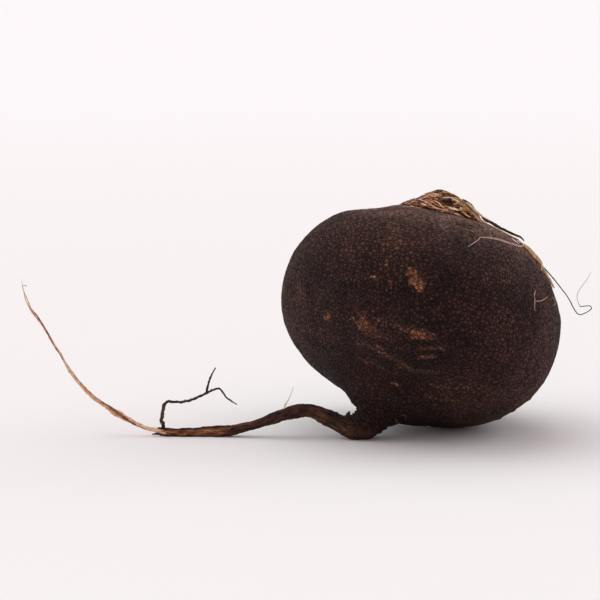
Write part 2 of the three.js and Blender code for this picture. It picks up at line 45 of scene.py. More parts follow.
SECTIONS = np.array([
    [5.719, 39.028, 3.573, 0.279, -0.005, 0, -0.008, -0.004, 0.282, 1],
    [6.513, 38.176, 4.231, 2.792, -0.214, 0, -0.08, -0.152, 2.819, 1],
    [6.84, 36.692, 4.999, 5.724, -0.675, 0, -0.165, -0.479, 5.779, 1],
    [6.943, 34.563, 5.731, 8.516, -1.276, 0, -0.245, -0.905, 8.597, 1],
    [6.7, 32.912, 6.389, 11.028, -1.929, 0, -0.318, -1.369, 11.134, 1],
    [6.579, 30.877, 6.901, 12.983, -2.505, 0, -0.374, -1.777, 13.107, 1],
    [6.606, 29.938, 7.157, 13.96, -2.813, 0, -0.402, -1.996, 14.094, 1],
    [6.441, 28.124, 6.727, 20.892, -4.407, 0, -0.652, -3.09, 21.116, 1],
    [6.123, 25.288, 6.055, 27.926, -6.303, 0, -0.981, -4.347, 28.28, 1],
    [5.548, 21.273, 5.104, 34.584, -8.534, 0, -1.422, -5.762, 35.124, 1],
    [4.667, 16.472, 3.966, 39.854, -10.851, 0, -1.95, -7.161, 40.633, 1],
    [3.425, 11.082, 2.682, 43.536, -13.123, 0, -2.551, -8.462, 44.604, 1],
    [1.798, 5.332, 1.3, 45.504, -15.17, 0, -3.188, -9.563, 46.895, 1],
    [-0.194, -0.532, -0.131, 45.716, -16.781, 0, -3.8, -10.352, 47.434, 1],
    [-2.379, -6.334, -1.556, 44.213, -17.748, 0, -4.305, -10.726, 46.219, 1],
    [-4.594, -11.903, -2.924, 41.11, -17.889, 0, -4.616, -10.608, 43.316, 1],
    [-6.736, -17.035, -4.185, 36.586, -17.086, 0, -4.651, -9.959, 38.854, 1],
    [-8.698, -21.541, -5.292, 30.858, -15.294, 0, -4.353, -8.783, 33.016, 1],
    [-10.233, -24.954, -6.131, 24.809, -12.844, 0, -3.776, -7.293, 26.702, 1],
    [-11.351, -27.38, -6.727, 18.836, -10.053, 0, -3.022, -5.662, 20.364, 1],
    [-10.238, -31.548, -8.3, 13.593, -4.078, 0, -1.124, -3.747, 13.642, 0],
    [-13.577, -32.023, -9.1, 8.743, -2.886, 0, -0.795, -2.41, 8.85, 0],
    [-16.304, -33.618, -9.5, 6.024, -2.8, 0, -0.772, -1.66, 6.386, 0],
    [-18.086, -35.061, -9.5, 5.091, -3.054, 0, 0, 0, 5.937, 0],
    [-19.863, -36.343, -9.3, 4.158, -3.649, 0, 0, 0, 5.532, 0],
    [-22.235, -37.048, -9.1, 2.462, -4.176, 0, 0, 0, 4.848, 0],
    [-24.524, -37.104, -9, 1.019, -4.126, 0, 0, 0, 4.25, 0],
    [-26.898, -36.418, -8.8, 0.34, -3.6, 0, 0, 0, 3.616, 0],
    [-29.188, -35.238, -8.6, 0.085, -3.261, 0, 0, 0, 3.262, 0],
    [-31.309, -34.313, -8.4, -1.257, -2.515, 0, 0, 0, 2.811, 0],
    [-33.346, -33.301, -8.225, -1.171, -2.403, 0, 0, 0, 2.673, 0],
    [-35.384, -32.34, -8.05, -0.926, -2.315, 0, 0, 0, 2.493, 0],
    [-37.423, -31.685, -7.875, -0.506, -2.249, 0, 0, 0, 2.305, 0],
    [-39.463, -31.437, -7.7, -0.095, -2.274, 0, 0, 0, 2.276, 0],
    [-41.503, -31.53, -7.525, 0.282, -2.33, 0, 0, 0, 2.347, 0],
    [-43.544, -31.945, -7.35, 0.472, -2.266, 0, 0, 0, 2.315, 0],
    [-45.586, -32.395, -7.175, 0.58, -2.14, 0, 0, 0, 2.217, 0],
    [-47.629, -33.066, -7, 0.652, -1.885, 0, 0, 0, 1.994, 0],
    [-49.673, -33.826, -6.75, 0.658, -1.88, 0, 0, 0, 1.992, 0],
    [-51.719, -34.518, -6.5, 0.606, -1.69, 0, 0, 0, 1.795, 0],
    [-53.765, -35.313, -6.25, 0.516, -1.491, 0, 0, 0, 1.577, 0],
    [-55.813, -35.955, -6, 0.456, -1.478, 0, 0, 0, 1.547, 0],
    [-57.862, -36.597, -5.75, 0.415, -1.486, 0, 0, 0, 1.543, 0],
    [-59.912, -37.121, -5.5, 0.387, -1.575, 0, 0, 0, 1.622, 0],
    [-61.963, -37.627, -5.25, 0.385, -1.595, 0, 0, 0, 1.641, 0],
    [-64.015, -38.134, -5, 0.328, -1.675, 0, 0, 0, 1.707, 0],
    [-66.066, -38.448, -4.86, 0.186, -1.789, 0, 0, 0, 1.798, 0],
    [-68.117, -38.575, -4.72, 0.085, -1.856, 0, 0, 0, 1.858, 0],
    [-70.168, -38.65, -4.58, 0.061, -1.824, 0, 0, 0, 1.825, 0],
    [-72.221, -38.725, -4.44, 0.095, -1.753, 0, 0, 0, 1.755, 0],
    [-74.274, -38.886, -4.3, 0.111, -1.665, 0, 0, 0, 1.669, 0],
    [-76.319, -39.001, -4.386, 0.071, -1.55, 0, 0, 0, 1.551, 0],
    [-78.363, -39.065, -4.471, 0.038, -1.518, 0, 0, 0, 1.518, 0],
    [-80.411, -39.1, -4.457, 0.043, -1.483, 0, 0, 0, 1.484, 0],
    [-82.462, -39.188, -4.393, -0.017, -1.399, 0, 0, 0, 1.399, 0],
    [-84.513, -39.055, -4.329, -0.077, -1.327, 0, 0, 0, 1.329, 0],
    [-86.564, -38.956, -4.264, -0.135, -1.352, 0, 0, 0, 1.359, 0],
    [-88.616, -38.652, -4.2, -0.214, -1.226, 0, 0, 0, 1.244, 0],
    [-90.667, -38.244, -4.157, -0.18, -1.027, 0, 0, 0, 1.043, 0],
    [-92.718, -37.939, -4.114, -0.203, -0.838, 0, 0, 0, 0.863, 0],
    [-95.111, -37.173, -4.064, -0.278, -0.73, 0, 0, 0, 0.782, 0],
    [-98.188, -35.862, -4, -0.386, -0.76, 0, 0, 0, 0.852, 0],
    [-101.266, -34.055, -3.936, -0.478, -0.811, 0, 0, 0, 0.942, 0],
    [-104.349, -32.251, -3.79, -0.584, -0.931, 0, 0, 0, 1.099, 0],
    [-107.441, -30.212, -3.542, -0.454, -0.695, 0, 0, 0, 0.83, 0],
    [-110.535, -28.257, -3.295, -0.467, -0.625, 0, 0, 0, 0.78, 0],
    [-113.631, -25.634, -3.048, -0.555, -0.587, 0, 0, 0, 0.808, 0],
    [-116.728, -22.463, -2.8, -0.502, -0.454, 0, 0, 0, 0.677, 0],
    [-119.492, -19.224, -2.475, -0.444, -0.315, 0, 0, 0, 0.544, 0],
    [-121.566, -15.724, -2.231, -0.372, -0.218, 0, 0, 0, 0.431, 0],
    [-123.641, -12.204, -1.987, -0.386, -0.244, 0, 0, 0, 0.457, 0],
    [-125.718, -9.231, -1.744, -0.38, -0.232, 0, 0, 0, 0.445, 0],
    [-127.795, -5.469, -1.5, -0.371, -0.215, 0, 0, 0, 0.429, 0],
    [-129.882, -2.133, -1.167, -0.358, -0.242, 0, 0, 0, 0.432, 0],
    [-131.971, 0.605, -0.833, -0.371, -0.281, 0, 0, 0, 0.466, 0],
    [-133.365, 2.386, -0.611, -0.368, -0.218, 0, 0, 0, 0.428, 0],
    [-134.759, 5.231, -0.389, -0.289, -0.13, 0, 0, 0, 0.317, 0],
    [-135.805, 7.717, -0.222, -0.218, -0.078, 0, 0, 0, 0.232, 0],
    [-136.572, 10.204, -0.1, -0.122, -0.026, 0, 0, 0, 0.125, 0],
    [-136.991, 13.188, -0.033, -0.016, -0.002, 0, 0, 0, 0.016, 0]])
LUMPS = np.array([1.0567, 1.0712, 1.0751, 1.0734, 1.0682, 1.0582, 1.0428, 1.0297, 1.0168, 1.0025, 0.9881, 0.9736, 0.9592, 0.9447, 0.9303, 0.9176, 0.9164, 0.9203, 0.936, 0.9539, 0.9574, 0.9584, 0.9599, 0.9612, 0.9631, 0.9655, 0.9673, 0.9673, 0.9735, 0.9773, 0.9782, 0.9805, 0.98, 0.9844, 0.9919, 1.0025, 1.0142, 1.021, 1.0323, 1.0506, 1.0656, 1.0747, 1.085, 1.0994, 1.1104, 1.1161, 1.1225, 1.1275, 1.1287, 1.1236, 1.1219, 1.1206, 1.1229, 1.1272, 1.1337, 1.1416, 1.1493, 1.1422, 1.131, 1.1333, 1.1384, 1.1381, 1.1233, 1.1021, 1.0774, 1.0521, 1.0317, 1.0183, 1.0121, 1.0152, 1.0254, 1.0416])
# worn places of the skin: centre (right, up, away), radii, turn in degrees, strength
WORN = [
    [-5.26, 14.95, -46.65, 1.72, 1.72, 0, 0.8],
    [-3.57, 12.39, -47.31, 2.23, 2.06, 30, 1],
    [-2.63, 10.53, -47.58, 1.37, 2.06, 0, 0.8],
    [-17.52, 13.43, -43.68, 1.1, 0.69, 0, 0.7],
    [-11.93, 11.72, -45.85, 0.89, 1.37, 10, 0.65],
    [-13.48, 18.48, -44.33, 1.03, 1.72, 20, 0.3],
    [-9.8, 25.59, -40.28, 3.09, 2.06, 0, 0.32],
    [-11.87, 29.91, -34.87, 2.06, 1.37, 0, 0.3],
    [-1.98, 25.76, -40.26, 1.37, 1.37, 0, 0.15],
    [-32.37, 0.31, -28.9, 2.06, 1.72, 0, 0.55],
    [-29.61, -3.71, -29.41, 1.72, 1.37, 0, 0.25],
    [-21.32, 1.96, -39.14, 2.74, 1.03, 25, 0.5],
    [-20.52, -1.79, -38.08, 2.06, 2.06, 0, 0.8],
    [-17.73, -3.96, -38.59, 2.74, 1.37, 35, 0.6],
    [-14.31, -0.62, -42.12, 3.09, 1.03, 15, 0.4],
    [-8.06, -3.6, -43.28, 2.74, 0.75, 20, 0.4],
    [-3.15, -4.9, -43.84, 2.4, 1.72, 10, 0.75],
    [0.16, -5.87, -44.06, 2.4, 1.37, 0, 0.6],
    [-12.77, -6.22, -39.73, 2.4, 1.72, 30, 0.3],
    [-20.42, -8.45, -33.45, 1.72, 0.86, 20, 0.45],
    [1.86, -9.59, -42.18, 3.43, 0.41, 3, 0.5],
    [-0.61, -12.53, -38.99, 2.74, 0.55, 3, 0.75],
    [6.22, -10.09, -42.53, 1.72, 0.41, 0, 0.3],
    [-9.34, -22.33, -25.16, 1.54, 0.89, 25, 0.65],
    [-7.46, -24.29, -24.38, 0.69, 0.69, 0, 0.6],
    [-6.73, -15.78, -33.32, 3.09, 0.69, 32, 0.6],
    [-15.22, -9.37, -35.88, 2.74, 0.62, 25, 0.5],
    [3.93, -17.71, -35.99, 1.72, 0.55, 0, 0.35],
    [25.18, 16.76, -36.8, 2.4, 2.06, 0, 0.28],
    [30.91, 15.48, -32.15, 0.45, 0.34, 0, 0.9],
    [35.54, 6.25, -32.2, 1.37, 1.72, 0, 0.22],
    [-1.87, -31.05, -18.99, 1.72, 0.69, 10, 0.35],
    [5.3, -28.95, -21.92, 2.74, 0.62, 5, 0.28],
    [9.96, -25.36, -28.39, 3.09, 0.55, 0, 0.25],
    [1.91, -26.46, -24.39, 2.4, 0.55, 8, 0.28],
    [15.04, -27.11, -26.08, 2.06, 0.51, -8, 0.22],
    [-21.34, -23.52, -17.18, 1.72, 0.69, 35, 0.25],
    [-26.35, -20.71, -12.61, 1.72, 0.69, 38, 0.22],
    [-42.14, 6.22, -17.7, 1.37, 2.06, 0, 0.12]]
# thin healed cracks of the skin
CRACKS = [
    [[-23.07, -7.91, -31.92], [-18.06, -9.42, -34.13], [-13.43, -11.67, -34.69], [-8.45, -14.84, -33.69], [-3.34, -17.1, -33.19], [4.04, -17.58, -36.14]],
    [[-15.64, -11.05, -34.04], [-11.83, -13.02, -34.11], [-7.68, -16.35, -32.28]],
    [[-24.27, 0.2, -36.33], [-19.81, -5.1, -36.52], [-13.8, -5.89, -39.47]],
    [[-11.36, -2.39, -42.67], [-6.37, -3.22, -44.0], [-0.99, -4.98, -44.2]],
    [[-2.61, -9.88, -40.37], [4.93, -9.59, -42.71]],
    [[-3.28, -12.81, -37.62], [2.48, -12.4, -40.27]],
    [[-21.61, -13.77, -26.48], [-15.53, -15.79, -28.49], [-8.9, -19.71, -27.27]],
    [[1.6, -22.02, -30.43], [8.28, -23.35, -30.73], [15.45, -22.56, -31.84]],
    [[0.22, -25.78, -24.31], [7.25, -27.5, -24.86], [14.52, -27.13, -26.08]]]
# dry strands: centre line and radius, in the same leaning frame
STRANDS = {
    'black': [
    [14.399, 40.684, 1, 0.22],
    [15.384, 40.013, 0.146, 0.4],
    [17.094, 38.638, -0.818, 0.5],
    [18.168, 36.855, -1.624, 0.45],
    [19.388, 35.32, -2.4, 0.3]],
    'black2': [
    [20.715, 34.343, -3, 0.25],
    [21.961, 33.412, -3.26, 0.45],
    [23.685, 32.721, -3.52, 0.5],
    [24.964, 31.928, -3.78, 0.52],
    [26.687, 30.896, -4.04, 0.5],
    [28.647, 29.967, -4.3, 0.48],
    [30.367, 29.107, -4.56, 0.45],
    [32.529, 28.145, -4.82, 0.4],
    [33.599, 27.695, -5.08, 0.34],
    [34.43, 26.973, -5.34, 0.24],
    [34.851, 26.217, -5.6, 0.12]],
    'pale': [
    [15.583, 39.57, -1.133, 0.3],
    [17.008, 38.328, -1.595, 0.36],
    [18.115, 37.112, -2, 0.4],
    [19.176, 36.137, -2.5, 0.42],
    [21.125, 34.548, -3, 0.36],
    [22.833, 33.644, -3.5, 0.24],
    [23.514, 33.355, -4, 0.12]],
    'tan': [
    [14.685, 38.806, -3.14, 0.3],
    [16.219, 36.743, -3.8, 0.4],
    [18.386, 34.805, -4.6, 0.42],
    [19.628, 33.313, -5.4, 0.4],
    [21.515, 32.267, -6.2, 0.35],
    [23.841, 31.188, -7, 0.3]],
    'ribbon_c': [
    [19.963, 33.97, -4, 0.3],
    [20.581, 33.41, -4.444, 0.4],
    [22.733, 31.964, -4.889, 0.5],
    [24.911, 30.887, -5.333, 0.55],
    [27.088, 29.738, -5.787, 0.58],
    [29.143, 28.621, -6.222, 0.55],
    [31.287, 27.555, -6.667, 0.5],
    [32.544, 26.864, -7.111, 0.46],
    [33.392, 26.037, -7.556, 0.44],
    [34.646, 24.871, -8, 0.5]],
    'line_d': [
    [23.587, 31.156, -7.01, 0.16],
    [26.194, 29.81, -7.426, 0.2],
    [28.577, 28.412, -7.8, 0.22],
    [31.162, 27.042, -8.2, 0.22],
    [32.862, 25.674, -8.6, 0.22],
    [33.915, 24.85, -9, 0.2]],
    'ribbon_f': [
    [33.881, 25.743, -7, 0.4],
    [35.168, 24.414, -7.067, 0.7],
    [36.455, 23.052, -7.133, 0.8],
    [37.743, 21.417, -7.2, 0.85],
    [39.03, 20.055, -7.267, 0.8],
    [40.35, 18.762, -7.333, 0.65],
    [41.195, 17.536, -7.4, 0.35]],
    'ribbon_f2': [
    [34.885, 25.203, -5.2, 0.3],
    [36.411, 23.837, -5.3, 0.45],
    [38.005, 22.096, -5.4, 0.5],
    [39.768, 20.287, -5.5, 0.45],
    [40.987, 18.65, -5.6, 0.3]],
    'strand_h': [
    [40.632, 17.942, -7.6, 0.34],
    [41.249, 16.913, -8.28, 0.36],
    [42.035, 15.343, -8.96, 0.36],
    [43.057, 13.503, -9.64, 0.34],
    [44.145, 11.531, -10.32, 0.26],
    [44.724, 10.24, -11, 0.12]],
    'fibre_e': [
    [34.348, 24.365, -9.5, 0.2],
    [33.341, 24.287, -12.053, 0.24],
    [31.802, 24.32, -17.067, 0.26],
    [29.377, 24.866, -20.957, 0.26],
    [26.988, 25.544, -23.355, 0.27],
    [24.769, 26.192, -25.06, 0.26],
    [22.502, 26.599, -27.013, 0.24],
    [20.61, 26.817, -28.59, 0.22],
    [18.292, 26.887, -30.548, 0.2],
    [17.53, 26.132, -32.389, 0.19],
    [15.632, 24.87, -35.459, 0.17],
    [13.746, 23.716, -37.809, 0.12]],
    'twig_e': [
    [22.497, 26.591, -27.009, 0.2],
    [22.238, 27.819, -24.398, 0.12]],
    'root_i': [
    [36.64, 9.464, -29.582, 0.14],
    [36.089, 7.742, -31.229, 0.2],
    [36.214, 6.181, -31.687, 0.24],
    [36.023, 4.57, -32.413, 0.22],
    [36.076, 3.018, -32.711, 0.2],
    [36.828, 2.55, -31.845, 0.17],
    [37.372, 3.032, -30.906, 0.1]],
    'root_i2': [
    [36.413, 5.819, -31.487, 0.2],
    [38.398, 5.848, -28.649, 0.19],
    [40.304, 6.628, -24.969, 0.16],
    [41.46, 7.356, -21.974, 0.1]],
    'loop_i': [
    [43.477, 7.141, -16.78, 0.08],
    [44.432, 6.127, -14.52, 0.08],
    [44.547, 4.929, -15.385, 0.08],
    [43.645, 4.15, -18.815, 0.07]],
    'stalk_thread': [
    [41.18, 17.539, -7.187, 0.2],
    [42.339, 16.318, -6.807, 0.2],
    [43.693, 14.68, -7.24, 0.2],
    [44.863, 13.317, -7.462, 0.2],
    [46.194, 11.651, -7.417, 0.19],
    [47.485, 9.914, -7.767, 0.18],
    [48.81, 8.247, -8.117, 0.17],
    [50.168, 6.004, -8.467, 0.17],
    [51.083, 4.068, -8.817, 0.17],
    [51.827, 2.711, -9.167, 0.17],
    [52.639, 1.592, -9.517, 0.17],
    [53.688, 1.187, -9.867, 0.17],
    [55.007, 1.664, -10.217, 0.16],
    [56.298, 2.448, -11.117, 0.16],
    [57.147, 3.331, -12.017, 0.16],
    [56.438, 4.179, -12.917, 0.15],
    [54.785, 4.114, -13.817, 0.15],
    [53.135, 3.947, -14.717, 0.14]],
    'side_root': [
    [-88.172, -36.159, -4.214, 0.5],
    [-88.808, -35.124, -4.446, 0.46],
    [-88.658, -33.884, -4.699, 0.44],
    [-88.167, -31.314, -4.963, 0.42],
    [-87.744, -29.495, -5.226, 0.4],
    [-86.433, -28.461, -5.516, 0.36],
    [-82.837, -28.652, -5.879, 0.32],
    [-80.472, -28.332, -6.203, 0.31],
    [-78.111, -27.743, -6.464, 0.31],
    [-75.959, -26.75, -6.624, 0.3],
    [-73.397, -25.584, -6.854, 0.29],
    [-71.444, -24.584, -7.237, 0.27],
    [-69.288, -23.89, -7.634, 0.25],
    [-67.918, -24.966, -7.977, 0.22],
    [-66.719, -26.688, -8.309, 0.2],
    [-65.146, -27.966, -8.666, 0.17],
    [-62.893, -29.306, -9.125, 0.13]],
    'side_root_twig': [
    [-73.333, -25.383, -6.758, 0.24],
    [-73.015, -23.636, -7.079, 0.23],
    [-72.22, -20.869, -7.433, 0.2],
    [-71.051, -18.308, -7.812, 0.16],
    [-70.155, -16.836, -8.173, 0.12]],
    'taproot_hair': [
    [-46.642, -29.592, -7.085, 0.2],
    [-45.722, -28.193, -7.163, 0.18],
    [-44.804, -26.326, -7.042, 0.15],
    [-43.681, -23.437, -6.938, 0.11]]}

LEAVES = {
    'leaf_base_hollow': ([11.095, 40.516, -0.662], [0.3821, 0.7267, -0.5709], [-0.4911, 0.683, 0.5407], [6.2, 5.2, 2.6]),
    'leaf_base_cream': ([14.22, 36.544, -3.494], [0.4841, 0.5936, -0.6429], [-0.3812, 0.8044, 0.4556], [3.8, 3.0, 1.5]),
    'leaf_base_ochre': ([18.05, 34.999, -1.114], [0.6642, 0.5866, -0.4634], [-0.5403, 0.8051, 0.2448], [5.0, 3.8, 1.9]),
    'leaf_base_front': ([9.215, 36.913, -5.507], [0.1996, 0.5721, -0.7955], [-0.0647, 0.8178, 0.5718], [7.0, 3.4, 1.5]),
    'leaf_base_front_left': ([2.092, 38.946, -3.939], [-0.1727, 0.6975, -0.6955], [0.4736, 0.6779, 0.5622], [7.6, 4.6, 1.5]),
    'leaf_base_left': ([-3.799, 39.99, 1.681], [-0.3978, 0.8891, -0.2264], [0.8921, 0.4325, 0.1309], [7.8, 4.8, 1.5]),
    'leaf_base_back_left': ([-4.784, 39.092, 9.533], [-0.349, 0.8864, 0.3041], [0.8176, 0.4466, -0.3635], [8.2, 5.2, 1.7]),
    'leaf_base_back': ([0.155, 36.901, 15.772], [-0.1145, 0.7779, 0.6178], [0.453, 0.5944, -0.6645], [8.4, 5.4, 1.8]),
    'leaf_base_back_right': ([8.418, 34.764, 17.639], [0.1915, 0.6908, 0.6972], [0.0019, 0.7101, -0.7041], [8.4, 5.4, 1.8]),
    'leaf_base_right': ([18.044, 34.324, 11.891], [0.5722, 0.6937, 0.4375], [-0.5292, 0.7198, -0.4492], [8.4, 5.4, 1.8]),
    'leaf_base_top_left': ([2.933, 41.909, 0.723], [-0.3178, 0.8315, -0.4556], [0.7142, 0.526, 0.4618], [6.0, 4.4, 1.4]),
    'leaf_base_top_back': ([6.251, 39.934, 11.673], [0.0448, 0.7834, 0.6199], [0.1003, 0.6139, -0.783], [6.0, 5.0, 1.5])}
